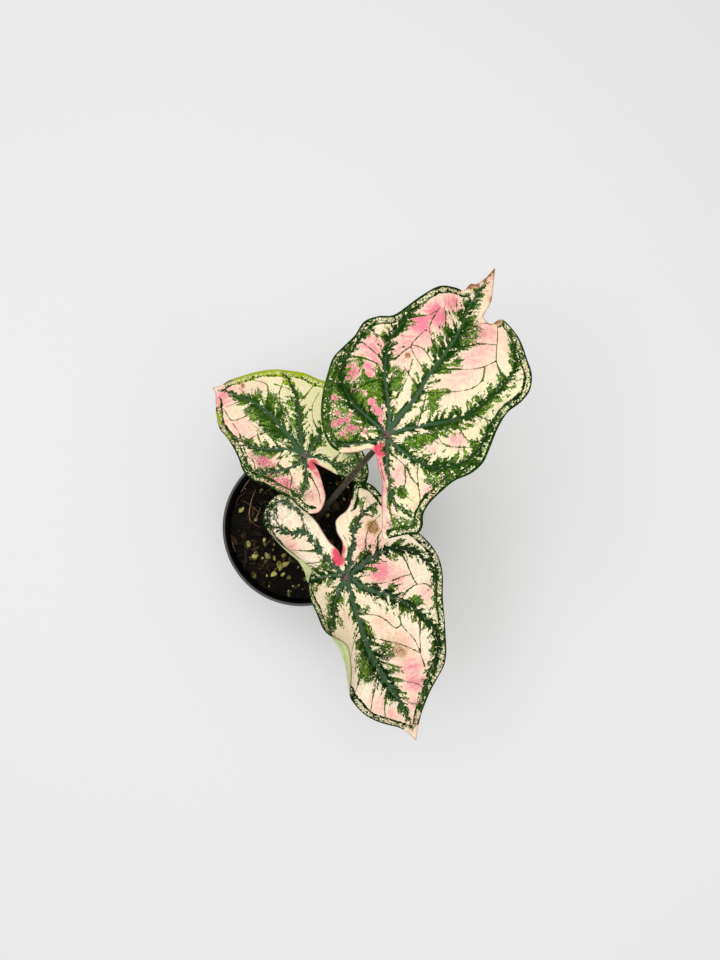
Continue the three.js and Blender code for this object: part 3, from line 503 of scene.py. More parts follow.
# The pot's profile has rings at these heights of the wall outside and inside.
OUTER_RINGS, INNER_RINGS = (6, 30, 54), (40,)

# The lumps of the mix lie in the same places as in the frame.
MIX = {
    "loose_depth": 3,
    "lump_seed": 7,
    "lump_count": 150,
    "lump_spread": 47,
    "lump_radius": (2.6, 5.5),
    "lump_height": (0.5, 2.1),
    "crown_height": 1.2,
    "crown_radius": 20,
    "crumb_height": 1.1,
    "crumb_grain": 0.35,
    "grain_height": 0.6,
    "grain_grain": 1.3,
    "gap": 0.3,
    "rings": 78,
    "segments": 220,
}
# What lies scattered on the mix: the seed of its draws, its width, the ranges of its three proportions,
# and how far its middle stands above the mix, in half widths.
LITTER = {
    "bark_chips": (11, (1.8, 6), ((0.3, 0.7), (0.9, 1.7), (0.2, 0.5)), 0.1),
    "perlite": (23, (1, 4.9), ((0.5, 1), (0.7, 1.5), (0.4, 0.8)), -0.05),
    "peat_crumbs": (37, (0.8, 2.8), ((0.6, 1), (0.7, 1.3), (0.5, 1)), 0.25),
}
LITTER_CLEAR, ROOT_CLEAR = 2.2, 1  # how far the litter and the roots stay inside the wall
LITTER_DENTS = 0.45  # how deep noise dents a lump, as a share of its radius
# Behind this line across the pot, only this share of the perlite is kept.
PERLITE_LINE, PERLITE_SHARE = -8, 0.25
# The dry fibres: where they start, most of them at the left, how far their headings differ, how long and
# thick they are, how they bend and waver, and how high they lie and arch over the mix.
ROOTS = {
    "seed": 5,
    "points": 8,
    "left": (-44, -16),
    "across": (-30, 36),
    "ahead": (-30, 32),
    "spread": 0.5,
    "length": (9, 26),
    "radius": (0.22, 0.5),
    "bend": 0.16,
    "waver": 0.15,
    "height": 0.4,
    "arch": 1.6,
}

# The soft lights: place and width in metres, and turn in degrees.
LIGHTS = {
    "key": ((-0.16, 0.1, 1.15), 1.1, (-5, -9, 0)),
    "fill": ((0.7, -0.5, 0.7), 0.7, (35, 42, 0)),
}
FLOOR_WIDTH, FLOOR_DROP = 6, 0.0005  # metres
CAMERA_TILT, CAMERA_NEAR, SENSOR_HEIGHT = math.radians(4), 0.01, 36


def linear(colour):
    """The linear colour, with alpha 1, of an sRGB hex value such as "F3E6C0"."""
    shares = [int(colour[i : i + 2], 16) / 255 for i in (0, 2, 4)]
    return tuple(s / 12.92 if s <= 0.04045 else ((s + 0.055) / 1.055) ** 2.4 for s in shares) + (1.0,)


# ---------------------------------------------------------------- what the pieces are made with


def settle(piece, slot, *materials, smooth=True):
    """Gives a finished piece its materials and the pot as its carrier. The slot argument is not used."""
    for material in materials:
        piece.data.materials.append(material)
    if smooth:
        piece.data.polygons.foreach_set("use_smooth", [True] * len(piece.data.polygons))
    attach(piece, "root")


def mesh_piece(name, places, faces):
    """An object made of points in millimetres and faces."""
    mesh = bpy.data.meshes.new(name)
    mesh.from_pydata([Vector(p) * MM for p in places], [], faces)
    mesh.validate()
    piece = bpy.data.objects.new(name, mesh)
    bpy.context.collection.objects.link(piece)
    return piece


def store(mesh, name, values):
    """Stores a number or a vector for each point of a mesh."""
    kind, key = ("FLOAT", "value") if values.ndim == 1 else ("FLOAT_VECTOR", "vector")
    mesh.attributes.new(name, kind, "POINT").data.foreach_set(key, values.astype(np.float32).ravel())


def select_only(piece):
    """Leaves one object selected and active."""
    bpy.ops.object.select_all(action="DESELECT")
    piece.select_set(True)
    bpy.context.view_layer.objects.active = piece


def started(operator, name, **settings):
    """A new primitive at the origin, by itself selected and named."""
    bpy.ops.object.select_all(action="DESELECT")
    operator(location=(0, 0, 0), **settings)
    bpy.context.object.name = name
    return bpy.context.object


def clean(piece):
    """Merges the doubles of a piece and turns its faces outwards."""
    select_only(piece)
    bpy.ops.object.mode_set(mode="EDIT")
    bpy.ops.mesh.select_all(action="SELECT")
    bpy.ops.mesh.remove_doubles(threshold=1e-6)
    bpy.ops.mesh.normals_make_consistent(inside=False)
    bpy.ops.object.mode_set(mode="OBJECT")


def apply_all(piece):
    """Applies the piece's modifiers in order."""
    select_only(piece)
    for modifier in list(piece.modifiers):
        bpy.ops.object.modifier_apply(modifier=modifier.name)


# ---------------------------------------------------------------- the shape of a leaf


def ramp(limits, x):
    """0 below the range, 1 above it, with a soft start and end."""
    share = min(1, max(0, (x - limits[0]) / (limits[1] - limits[0])))
    return share * share * (3 - 2 * share)


def bell(x):
    """1 at 0, falling to 0 at a distance of 1."""
    return 0.5 + 0.5 * math.cos(math.pi * x) if abs(x) < 1 else 0.0


def follow_bend(distance, stages):
    """Follows a strip that bends through the stages (length, end angle): along, up and the angle there."""
    along = up = angle = 0.0
    for length, degrees in stages:
        turn = (math.radians(degrees) - angle) / length
        step = min(distance, length)
        after = angle + turn * step
        if abs(turn) < 1e-6:
            along += step * math.cos(angle)
            up += step * math.sin(angle)
        else:
            along += (math.sin(after) - math.sin(angle)) / turn
            up += (math.cos(angle) - math.cos(after)) / turn
        angle = after
        distance -= step
    return along + distance * math.cos(angle), up + distance * math.sin(angle), angle


def leaf_axes(leaf):
    """The directions ahead along the midrib, aside to its left, and above the leaf at the joint."""
    heading, pitch = math.radians(leaf["heading"]), math.radians(leaf["pitch"])
    level = math.cos(pitch)
    ahead = Vector((math.cos(heading) * level, math.sin(heading) * level, -math.sin(pitch)))
    aside = Vector((-math.sin(heading), math.cos(heading), 0))
    return ahead, aside, ahead.cross(aside)


def blade_point(leaf, axes, u, v):
    """The place of the flat point (u, v), without the rolled and waved edge."""
    ahead, aside, above = axes
    if "sway" in leaf:
        middle_u, middle_v, reach, shift = leaf["sway"]
        v += shift * bell(math.hypot(u - middle_u, v - middle_v) / reach)
    end = -1 if u < 0 else 1
    side = -1 if v < 0 else 1
    along, up, angle = follow_bend(abs(u), leaf["tip_bend"] if end > 0 else leaf["back_bend"])
    upright = above * math.cos(angle) - ahead * (end * math.sin(angle))
    folded = ramp(leaf["fold_range"], u) * (1 - ramp(leaf["relax_range"], u))
    fold = leaf["left_fold"] if side > 0 else leaf["right_fold"]
    stages = [(length, back + (front - back) * folded) for length, back, front in fold]
    out, rise, _ = follow_bend(abs(v), stages)
    joint = Vector(leaf["joint"])
    return joint + ahead * (end * along) + above * up + aside * (side * out) + upright * rise


def roll_angle(leaf, u, v):
    """How far the right edge rolls over at (u, v)."""
    rolls = leaf.get("edge_rolls", ())
    turned = sum(math.radians(angle) * bell((u - middle) / half) for middle, half, angle in rolls)
    return turned * ramp(BLADE["roll_beyond"], -v)


def blade_place(leaf, axes, edge, share):
    """The place and the normal at a share of the way from the joint to a point (u, v, lift) of the edge."""
    reach = math.hypot(edge[0], edge[1])
    out = (edge[0] / reach, edge[1] / reach)
    u, v = edge[0] * share, edge[1] * share
    step = 0.5

    def slope(du, dv):
        far = blade_point(leaf, axes, u + du * step, v + dv * step)
        return (far - blade_point(leaf, axes, u - du * step, v - dv * step)).normalized()

    outward = slope(*out)
    normal = outward.cross(slope(-out[1], out[0])).normalized()
    place = blade_point(leaf, axes, u, v) + normal * (edge[2] * share ** BLADE["lift_power"])
    strip = min(BLADE["roll_strip"], BLADE["roll_share"] * reach)
    past = strip - (1 - share) * reach
    roll = roll_angle(leaf, edge[0], edge[1]) if past > 0 else 0
    if roll > 0:
        radius = strip / roll
        turned = past / radius
        place += outward * (radius * math.sin(turned) - past) + normal * (radius * (1 - math.cos(turned)))
        normal = normal * math.cos(turned) - outward * math.sin(turned)
    return place, normal


def smooth_line(points, steps):
    """A centripetal curve through the points, with so many steps between each two of them."""
    points = [np.array(p, float) for p in points]
    ends = [2 * points[0] - points[1], *points, 2 * points[-1] - points[-2]]
    line = []
    for a, b, c, d in zip(ends, ends[1:], ends[2:], ends[3:]):
        ab, bc, cd = (max(np.linalg.norm(q - p) ** 0.5, 1e-4) for p, q in ((a, b), (b, c), (c, d)))
        start = ((b - a) / ab - (c - a) / (ab + bc) + (c - b) / bc) * bc
        stop = ((c - b) / bc - (d - b) / (bc + cd) + (d - c) / cd) * bc
        square, cube = 3 * (c - b) - 2 * start - stop, 2 * (b - c) + start + stop
        shares = [i / steps for i in range(steps)]
        line += [b + start * t + square * t * t + cube * t * t * t for t in shares]
    return np.array([*line, points[-1]])


def distances(points, line):
    """For each point: how far it is from the line, how far along the line that is, and on which side."""
    starts, steps = line[:-1], np.diff(line, axis=0)
    lengths = np.hypot(steps[:, 0], steps[:, 1])
    along = np.concatenate([[0], np.cumsum(lengths)])
    away = points[:, None, :] - starts[None]
    share = np.clip((away * steps).sum(2) / np.maximum(lengths**2, 1e-9), 0, 1)
    gap = away - share[..., None] * steps
    far = np.hypot(gap[..., 0], gap[..., 1])
    best = far.argmin(1)
    rows = np.arange(len(points))
    side = np.sign(steps[best, 0] * away[rows, best, 1] - steps[best, 1] * away[rows, best, 0])
    return far[rows, best], along[best] + share[rows, best] * lengths[best], side


def vein_lines(name):
    """The smooth lines of a leaf's main veins and of its fine veins."""
    main = [smooth_line(line, BLADE["main_steps"]) for line, _, _ in MAIN_VEINS[name].values()]
    return main, [smooth_line(line, BLADE["fine_steps"]) for line in FINE_VEINS[name]]


def flat_blade(name, leaf):
    """The leaf cut out flat: points and triangles that follow its veins, and its edge as a closed line."""
    edge = np.vstack([smooth_line(leaf[side], BLADE["edge_steps"])[:-1] for side in ("right", "left")])
    main, fine = vein_lines(name)
    taken = np.vstack([edge[:, :2], *main, *fine])
    draw = random.Random(name)
    step, row, jitter = BLADE["spacing"], BLADE["spacing"] * BLADE["row"], BLADE["jitter"]
    low, high = edge[:, :2].min(0), edge[:, :2].max(0)
    grid = []
    for j in range(int((high[1] - low[1]) / row) + 1):
        for i in range(int((high[0] - low[0]) / step) + 1):
            u = low[0] + (i + 0.5 * (j % 2) + draw.uniform(-jitter, jitter)) * step
            grid.append((u, low[1] + (j + draw.uniform(-jitter, jitter)) * step * BLADE["row"]))
    free = []
    for start in range(0, len(grid), 2000):
        part = np.array(grid[start : start + 2000])
        gap = np.hypot(part[:, None, 0] - taken[None, :, 0], part[:, None, 1] - taken[None, :, 1])
        free += [tuple(p) for p in part[gap.min(1) > step * BLADE["clear"]]]
    points, links = [tuple(p) for p in edge[:, :2]], []
    for vein in (*main, *fine):
        first = len(points)
        points += [tuple(p) for p in vein]
        links += [(first + i, first + i + 1) for i in range(len(vein) - 1)]
    outline = [list(range(len(edge)))]
    made = geometry.delaunay_2d_cdt([Vector(p) for p in points + free], links, outline, 1, 1e-3)
    return np.array([tuple(p) for p in made[0]]), [tuple(f) for f in made[2]], edge


def edge_beyond(points, edge):
    """For each flat point: the edge point on the same ray from the joint, and the share of the way to it."""
    turn = np.unwrap(np.arctan2(edge[:, 1], edge[:, 0]))
    turn = np.maximum.accumulate(turn)
    turn = np.append(turn, turn[0] + 2 * math.pi)
    closed = np.vstack([edge, edge[:1]])
    angle = np.arctan2(points[:, 1], points[:, 0])
    angle = turn[0] + np.mod(angle - turn[0], 2 * math.pi)
    reach = np.interp(angle, turn, np.hypot(closed[:, 0], closed[:, 1]))
    lift = np.interp(angle, turn, closed[:, 2])
    share = np.minimum(1, np.hypot(points[:, 0], points[:, 1]) / reach)
    return np.stack([reach * np.cos(angle), reach * np.sin(angle), lift], 1), share


def vein_fields(name, points):
    """What the colours need to know of the veins at each point of the blade.

    core is the distance outside the nearest main vein, and reach the same in widths of the vein's green
    border. lines is the distance outside the nearest fine vein. grain runs along the nearest main vein
    and away from it, with a number of its own for each side of each vein.
    """
    main, fine = vein_lines(name)
    core, reach = np.full(len(points), NO_VEIN), np.full(len(points), NO_BORDER)
    grain = np.zeros((len(points), 3))
    for number, (line, (_, (foot, end), borders)) in enumerate(zip(main, MAIN_VEINS[name].values())):
        gap, way, side = distances(points, line)
        share = way / way.max()
        # A vein narrows most near its foot, and runs out at its end.
        half = 0.5 * (foot + (end - foot) * share**0.8) * np.minimum(1, 0.3 + 5 * (1 - share))
        inside = gap - half
        # The grain leans forward along the vein, as the side veins do.
        leaning = np.stack([way - 0.75 * gap, gap, 17 * number + 7 * side], 1)
        grain = np.where((inside < core)[:, None], leaning, grain)
        core = np.minimum(core, inside)
        border = np.interp(share, np.linspace(0, 1, len(borders)), borders)
        reach = np.minimum(reach, np.clip(inside / border, 0, NO_BORDER))
    lines = np.full(len(points), NO_BORDER)
    feet = np.array([line[0] for line in FINE_VEINS[name]], float)
    from_main = np.min([distances(feet, line)[0] for line in main], axis=0)
    for line, start in zip(fine, from_main):
        gap, way, _ = distances(points, line)
        lines = np.minimum(lines, gap - 0.16)
        # A fine vein that leaves a main one starts with a green border that soon runs out.
        border = 0.11 + (0.9 if start < 2.5 else 0) * np.exp(-way / 4)
        reach = np.minimum(reach, np.clip((gap - 0.1) / border + 0.2, 0, NO_BORDER))
    return core, reach, lines, grain


def patch_field(points, patches):
    """The strength of the patches of one kind at each point."""
    field = np.zeros(len(points))
    for u, v, reach, strength in patches:
        away = np.hypot(points[:, 0] - u, points[:, 1] - v) / reach
        field = np.maximum(field, strength * np.exp(-1.4 * away**2.4))
    return field


def margin_fields(leaf, points):
    """The distance to the green-edged margin, and to the stretches of edge that stay plain."""
    steps = BLADE["edge_steps"]
    green, plain = [], []
    for side in ("right", "left"):
        line = smooth_line([p[:2] for p in leaf[side]], steps)
        done = 0
        for first, last in leaf[f"plain_{side}"]:
            plain.append(line[first * steps : last * steps + 1])
            green.append(line[done : first * steps + 1])
            done = last * steps
        green.append(line[done:])
    return (
        np.min([distances(points, line)[0] for line in lines if len(line) > 1], axis=0)
        for lines in (green, plain)
    )


def quilt(u, v, core, line, edge):
    """How far the skin swells up at a place, as a share of the quilting."""
    # The swelling is full 4 mm from a main vein, and grooved over a fine one.
    swell = 1 - math.exp(-((max(core, 0) / 4) ** 1.5))
    swell -= 0.42 * math.exp(-((max(line, 0) / 1.2) ** 2)) + 0.2
    # Soft waves of about 6 mm, with smaller ones of 2 mm on them.
    ripple = noise.noise(Vector((u * 0.16, v * 0.16, 3.1))) + 0.4 * noise.noise(Vector((u * 0.5, v * 0.5, 8)))
    # It dies down over the last 5 mm to the edge and 12 mm to the joint.
    calm = min(1, edge / 5) * min(1, math.hypot(u, v) / 12)
    return (0.9 * swell + 0.35 * ripple) * (0.25 + 0.75 * calm)


def make_blade(name, plant, top, under):
    """One leaf blade: cut out flat along its veins, folded, quilted and given its thickness."""
    leaf = LEAVES[name]
    points, faces, edge = flat_blade(name, leaf)
    core, reach, lines, grain = vein_fields(name, points)
    margin, plain = margin_fields(leaf, points)
    beyond, share = edge_beyond(points, edge)
    axes = leaf_axes(leaf)
    places = []
    for i, (u, v) in enumerate(points):
        place, normal = blade_place(leaf, axes, beyond[i], share[i])
        swollen = quilt(u, v, core[i], lines[i], min(margin[i], plain[i]))
        places.append(place + normal * (BLADE["top"] + plant["quilting"] * swollen))
    piece = mesh_piece(f"{name}_lamina", places, faces)
    fields = dict(zip(VEIN_FIELDS, (core, reach, lines, margin, plain)))
    fields |= {kind: patch_field(points, PATCHES[name].get(kind, ())) for kind in PATCH_KINDS}
    # Each leaf has its own stretch of every pattern.
    number = list(LEAVES).index(name)
    fields["flat"] = np.column_stack([points, np.full(len(points), 40.0 * number)])
    fields["grain"] = grain + (0, 0, 100 * number)
    for kind, values in fields.items():
        store(piece.data, kind, values)
    # Under the blade the main veins stand out as ribs, which shrink towards the edge.
    ribs = piece.vertex_groups.new(name="ribs")
    for i, depth in enumerate(core):
        ribs.add([i], math.exp(-((max(depth, 0) / 0.8) ** 2)) * (1 - 0.75 * min(1, share[i])), "REPLACE")
    for material in (top, under):
        piece.data.materials.append(material)
    shell = piece.modifiers.new("thickness", "SOLIDIFY")
    shell.thickness = plant["rib_depth"] * MM
    shell.offset = -1
    shell.vertex_group = "ribs"
    shell.thickness_vertex_group = plant["thickness"] / plant["rib_depth"]
    shell.material_offset = 1
    shell.material_offset_rim = 0
    apply_all(piece)
    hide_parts(f"{name}_blade")
    settle(piece, "leaf")


# ---------------------------------------------------------------- petioles


def petiole_radius(plant, from_foot, from_top):
    """The petiole's radius: a sheathing foot, a thin neck, and a flare where it meets the blade."""
    shaft, neck = plant["shaft_radius"], plant["neck_radius"]
    plain = shaft + (neck - shaft) * from_foot / (from_foot + from_top)
    sheath = (plant["foot_radius"] - shaft) * (1 - ramp((0, plant["foot_length"]), from_foot))
    flare = (plant["socket_radius"] - neck) * (1 - ramp((0, plant["socket_length"]), from_top)) ** 2
    return plain + sheath + flare


def make_petiole(name, plant, skin):
    """One petiole: a curve from the tuber to the blade, given its thickness and turned into a mesh."""
    leaf = LEAVES[name]
    top = Vector(leaf["joint"]) - leaf_axes(leaf)[2] * BLADE["sunk"]
    foot = Vector((*leaf["foot"], FOOT_HEIGHT))
    shoulder = foot.lerp(top, leaf["lean"])
    shoulder.z = foot.z + (top.z - foot.z) * leaf["rise"]
    piece = started(bpy.ops.curve.primitive_bezier_curve_add, f"{name}_stem")
    first, last = piece.data.splines[0].bezier_points
    for point, place in ((first, foot), (last, top)):
        handle = place.lerp(shoulder, 2 / 3)
        point.handle_left_type = point.handle_right_type = "FREE"
        point.co = place * MM
        point.handle_left = (handle if point == last else 2 * place - handle) * MM
        point.handle_right = (handle if point == first else 2 * place - handle) * MM
    bpy.ops.object.mode_set(mode="EDIT")
    bpy.ops.curve.select_all(action="SELECT")
    bpy.ops.curve.subdivide(number_cuts=PETIOLE_CUTS)
    bpy.ops.object.mode_set(mode="OBJECT")
    knots = piece.data.splines[0].bezier_points
    way = [0.0]
    for a, b in zip(knots, list(knots)[1:]):
        way.append(way[-1] + (b.co - a.co).length / MM)
    for knot, done in zip(knots, way):
        knot.radius = petiole_radius(plant, done, way[-1] - done)
    piece.data.resolution_u = 2
    piece.data.bevel_depth = MM
    piece.data.bevel_resolution = 5
    piece.data.use_fill_caps = True
    piece.data.twist_mode = "MINIMUM"
    bpy.ops.object.convert(target="MESH")
    clean(piece)
    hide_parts(f"{name}_petiole")
    settle(piece, "petiole", skin)


# ---------------------------------------------------------------- pot and potting mix


def wall_radius(pot, height):
    """Outside radius of the tapered wall at a height."""
    top = pot["rim_radius"] - pot["band_draft"] - pot["band_step"]
    return pot["base_radius"] + (top - pot["base_radius"]) * height / (pot["height"] - pot["band_height"])


def pot_profile(pot):
    """Half of the pot's section, as radius and height: up the outside, over the lip and down the inside."""
    height, rim, lip, wall = pot["height"], pot["rim_radius"], pot["lip"], pot["wall"]
    base, chamfer, shoulder = pot["base_radius"], pot["foot_chamfer"], pot["band_shoulder"]
    floor, corner, fine = pot["floor"], pot["floor_round"], pot["lip_round"]
    nick = 0.3 * fine
    foot = height - pot["band_height"]
    band = wall_radius(pot, foot) + pot["band_step"]
    return [
        (0, 0),
        (base - chamfer - 6, 0),
        (base - chamfer, 0),
        *((wall_radius(pot, z), z) for z in (chamfer, *OUTER_RINGS, foot)),
        (band, foot + shoulder),
        (band + 0.35, foot + 5),
        (rim, height - fine),
        (rim - nick, height - nick),
        (rim - fine, height),
        (rim - lip + fine, height),
        (rim - lip + nick, height - nick),
        (rim - lip, height - fine),
        (band - wall, foot + shoulder),
        (wall_radius(pot, foot) - wall, foot - shoulder),
        *((wall_radius(pot, z) - wall, z) for z in (*INNER_RINGS, floor + corner)),
        (base - wall - corner, floor),
        (0, floor),
    ]


def make_pot(pot, plastic):
    """The pot: its profile spun round, with drain holes cut through the floor."""
    profile = pot_profile(pot)
    piece = mesh_piece("nursery_pot", [(r, 0, z) for r, z in profile], [])
    piece.data.edges.add(len(profile) - 1)
    for i, edge in enumerate(piece.data.edges):
        edge.vertices = (i, i + 1)
    select_only(piece)
    bpy.ops.object.mode_set(mode="EDIT")
    bpy.ops.mesh.select_all(action="SELECT")
    bpy.ops.mesh.spin(
        steps=SPIN_STEPS, angle=2 * math.pi, center=(0, 0, 0), axis=(0, 0, 1), use_auto_merge=True
    )
    bpy.ops.object.mode_set(mode="OBJECT")
    clean(piece)
    drains = []
    for i in range(pot["drain_count"]):
        turn = 2 * math.pi * (i + 0.5) / pot["drain_count"]
        place = Vector((math.cos(turn), math.sin(turn), 0)) * pot["drain_circle"] * MM
        bpy.ops.object.select_all(action="DESELECT")
        bpy.ops.mesh.primitive_cylinder_add(
            vertices=DRAIN_SIDES, radius=pot["drain_radius"] * MM, depth=0.02, location=place
        )
        drains.append(bpy.context.object)
        cut = piece.modifiers.new("drain", "BOOLEAN")
        cut.object = drains[-1]
        cut.operation = "DIFFERENCE"
        cut.solver = "EXACT"
    apply_all(piece)
    for drain in drains:
        bpy.data.objects.remove(drain)
    select_only(piece)
    bpy.ops.object.shade_smooth_by_angle(angle=SHARP)
    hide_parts("pot")
    settle(piece, "pot_plastic", plastic, smooth=False)


def mix_lumps():
    """The lumps of the mix, as x, y, radius and height, drawn as in the frame."""
    state = MIX["lump_seed"]

    def draw(low, high):
        nonlocal state
        state = (state * 1664525 + 1013904223) % 2**32
        return low + (high - low) * state / 2**32

    lumps = []
    for _ in range(MIX["lump_count"]):
        turn = draw(0, 2 * math.pi)
        distance = MIX["lump_spread"] * math.sqrt(draw(0, 1))
        x, y = distance * math.cos(turn), distance * math.sin(turn)
        radius = draw(*MIX["lump_radius"])
        lumps.append((x, y, radius, draw(*MIX["lump_height"])))
    return lumps


LUMPS = mix_lumps()


def mix_height(mix, x, y):
    """The height of the mix at a place, with its lumps and crumbs."""
    lump = max(height * bell(math.hypot(x - a, y - b) / radius) for a, b, radius, height in LUMPS)
    crown = MIX["crown_height"] * bell(math.hypot(x, y) / MIX["crown_radius"])
    wide, close = MIX["crumb_grain"], MIX["grain_grain"]
    crumbs = MIX["crumb_height"] * noise.fractal(Vector((x * wide, y * wide, 1.7)), 0.9, 2.1, 4)
    grains = MIX["grain_height"] * noise.noise(Vector((x * close, y * close, 5)))
    return mix["level"] + lump + crown + crumbs + grains


def make_mix(pot, mix, peat):
    """The potting mix: rings of edges drawn in from the wall, raised into crumbs, over a closed body."""
    gap = MIX["gap"]
    side = mix["level"] - MIX["loose_depth"]
    outer = wall_radius(pot, side) - pot["wall"] - gap
    piece = started(
        bpy.ops.mesh.primitive_circle_add,
        "moist_potting_mix",
        vertices=MIX["segments"],
        radius=outer * MM,
        fill_type="NOTHING",
    )
    bpy.ops.object.mode_set(mode="EDIT")
    bpy.ops.mesh.select_all(action="SELECT")
    for ring in range(MIX["rings"], 1, -1):
        bpy.ops.mesh.extrude_edges_move()
        share = (ring - 1) / ring
        bpy.ops.transform.resize(value=(share, share, 1), center_override=(0, 0, 0))
    bpy.ops.mesh.merge(type="CENTER")
    bpy.ops.object.mode_set(mode="OBJECT")
    made = bmesh.new()
    made.from_mesh(piece.data)
    for vertex in made.verts:
        vertex.co.z = mix_height(mix, vertex.co.x / MM, vertex.co.y / MM) * MM
    bottom = pot["floor"] + gap
    corner = bottom + pot["floor_round"]
    rim = [e for e in made.edges if e.is_boundary]
    for radius, height in (
        (outer, side),
        (wall_radius(pot, corner) - pot["wall"] - gap, corner),
        (pot["base_radius"] - pot["wall"] - pot["floor_round"] - gap, bottom),
    ):
        down = bmesh.ops.extrude_edge_only(made, edges=rim)["geom"]
        for vertex in (v for v in down if isinstance(v, bmesh.types.BMVert)):
            flat = Vector((vertex.co.x, vertex.co.y, 0)).normalized() * radius * MM
            vertex.co = Vector((flat.x, flat.y, height * MM))
        rim = [e for e in down if isinstance(e, bmesh.types.BMEdge)]
    bmesh.ops.contextual_create(made, geom=rim)
    bmesh.ops.recalc_face_normals(made, faces=made.faces)
    made.to_mesh(piece.data)
    made.free()
    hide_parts("potting_mix")
    settle(piece, "potting_mix", peat)


def scatter(name, lump, count, reach, mix, material):
    """Many copies of one small lump, each turned and sized by a seeded draw, laid on the mix as one piece."""
    seed, widths, proportions, stand = LITTER[name]
    draw = random.Random(seed)
    shape = [v.co.copy() for v in lump.data.vertices]
    sides = [tuple(p.vertices) for p in lump.data.polygons]
    places, faces = [], []
    while len(places) < count * len(shape):
        turn, away = draw.uniform(0, 2 * math.pi), reach * math.sqrt(draw.random())
        x, y = away * math.cos(turn), away * math.sin(turn)
        # Most of the pale grains lie towards the front of the pot.
        if name == "perlite" and draw.random() >= (1 if y < PERLITE_LINE else PERLITE_SHARE):
            continue
        half = 0.5 * draw.uniform(*widths)
        lean = Vector((draw.gauss(0, 1), draw.gauss(0, 1), draw.gauss(0, 1))).normalized()
        tilt = Vector((0, 0, 1)).rotation_difference(Vector((lean.x / 2, lean.y / 2, 1)).normalized())
        yaw = draw.uniform(0, 2 * math.pi)
        squash = [draw.uniform(*limits) for limits in proportions]
        ground = Vector((x, y, mix_height(mix, x, y) + stand * half))
        first = len(places)
        for co in shape:
            x, y, z = Vector([a * b for a, b in zip(co, squash)]) * half * (
                1 + LITTER_DENTS * noise.noise(co * 1.1 + Vector((first, 0, 0)) * 0.37)
            )
            turned = (x * math.cos(yaw) - y * math.sin(yaw), x * math.sin(yaw) + y * math.cos(yaw), z)
            places.append(ground + tilt @ Vector(turned))
        faces += [tuple(first + i for i in side) for side in sides]
    piece = mesh_piece(name, places, faces)
    store(piece.data, "tone", np.repeat([draw.random() for _ in range(count)], len(shape)))
    settle(piece, "potting_mix", material)


def make_roots(count, reach, mix, skin):
    """Dry fibres and slivers that lie on the mix, most of them at its left side, as one piece."""
    draw = random.Random(ROOTS["seed"])
    last = ROOTS["points"] - 1
    made = []
    for number in range(count):
        x, y = draw.uniform(*ROOTS["left" if number % 3 else "across"]), draw.uniform(*ROOTS["ahead"])
        heading = math.pi / 2 + draw.gauss(0, ROOTS["spread"]) if number % 4 else draw.uniform(0, math.pi)
        length, turn = draw.uniform(*ROOTS["length"]), draw.gauss(0, ROOTS["bend"])
        thick = draw.uniform(*ROOTS["radius"])
        root = started(bpy.ops.curve.primitive_nurbs_path_add, "root_fibres")
        spline = root.data.splines[0]
        spline.points.add(ROOTS["points"] - len(spline.points))
        points = []
        for _ in range(ROOTS["points"]):
            points.append((x, y))
            x += length / last * math.cos(heading)
            y += length / last * math.sin(heading)
            heading += turn + draw.gauss(0, ROOTS["waver"])
        for i, (point, (x, y)) in enumerate(zip(spline.points, points)):
            inside = min(1, reach / math.hypot(x, y))
            x, y = x * inside, y * inside
            rise = ROOTS["height"] + ROOTS["arch"] * math.sin(math.pi * i / last) * (number % 2)
            point.co = (x * MM, y * MM, (mix_height(mix, x, y) + rise) * MM, 1)
            point.radius = 1 - 0.6 * abs(i - 3) / 4
        root.data.bevel_depth = thick * MM
        root.data.bevel_resolution = 1
        root.data.resolution_u = 3
        root.data.use_fill_caps = True
        bpy.ops.object.convert(target="MESH")
        store(root.data, "tone", np.full(len(root.data.vertices), draw.random()))
        made.append(root)
    for root in made:
        root.select_set(True)
    bpy.context.view_layer.objects.active = made[0]
    bpy.ops.object.join()
    settle(made[0], "potting_mix", skin)


# ---------------------------------------------------------------- what the finishes are made with

# The nodes of the finishes: Blender's type, the inputs in the order they are given, the output and settings.
NODES = {
    "field": ("ShaderNodeAttribute", (), "Fac", {}),
    "place": ("ShaderNodeTexCoord", (), "Object", {}),
    "stretch": ("ShaderNodeMapping", ("Vector", "Scale"), 0, {}),
    "noise": ("ShaderNodeTexNoise", ("Vector", "Scale", "Detail", "Roughness"), 0, {}),
    "cells": ("ShaderNodeTexVoronoi", ("Vector", "Scale"), 0, {}),
    "split": ("ShaderNodeSeparateColor", (0,), 0, {}),
    "part": ("ShaderNodeSeparateXYZ", (0,), 0, {}),
    "remap": ("ShaderNodeMapRange", (0, 1, 2, 3, 4), 0, {}),
    "step": ("ShaderNodeMapRange", (0, 1, 2, 3, 4), 0, {"interpolation_type": "SMOOTHSTEP"}),
    "layer": ("ShaderNodeMix", (0, 6, 7), 2, {"data_type": "RGBA"}),
    "vector": ("ShaderNodeVectorMath", (0, 1, 2), 0, {}),
    "bump": ("ShaderNodeBump", ("Height", "Strength", "Distance"), 0, {}),
}
MATHS = {
    "times": "MULTIPLY",
    "most": "MAXIMUM",
    "least": "MINIMUM",
    "sum": "ADD",
    "less": "SUBTRACT",
    "weigh": "MULTIPLY_ADD",
    "size": "ABSOLUTE",
    "power": "POWER",
}
NODES |= {kind: ("ShaderNodeMath", (0, 1, 2), 0, {"operation": used}) for kind, used in MATHS.items()}


def fill(node, inputs):
    """Sets or links the inputs of a node, by name or number."""
    for key, value in inputs.items():
        if isinstance(value, bpy.types.NodeSocket):
            node.id_data.links.new(value, node.inputs[key])
        else:
            node.inputs[key].default_value = value


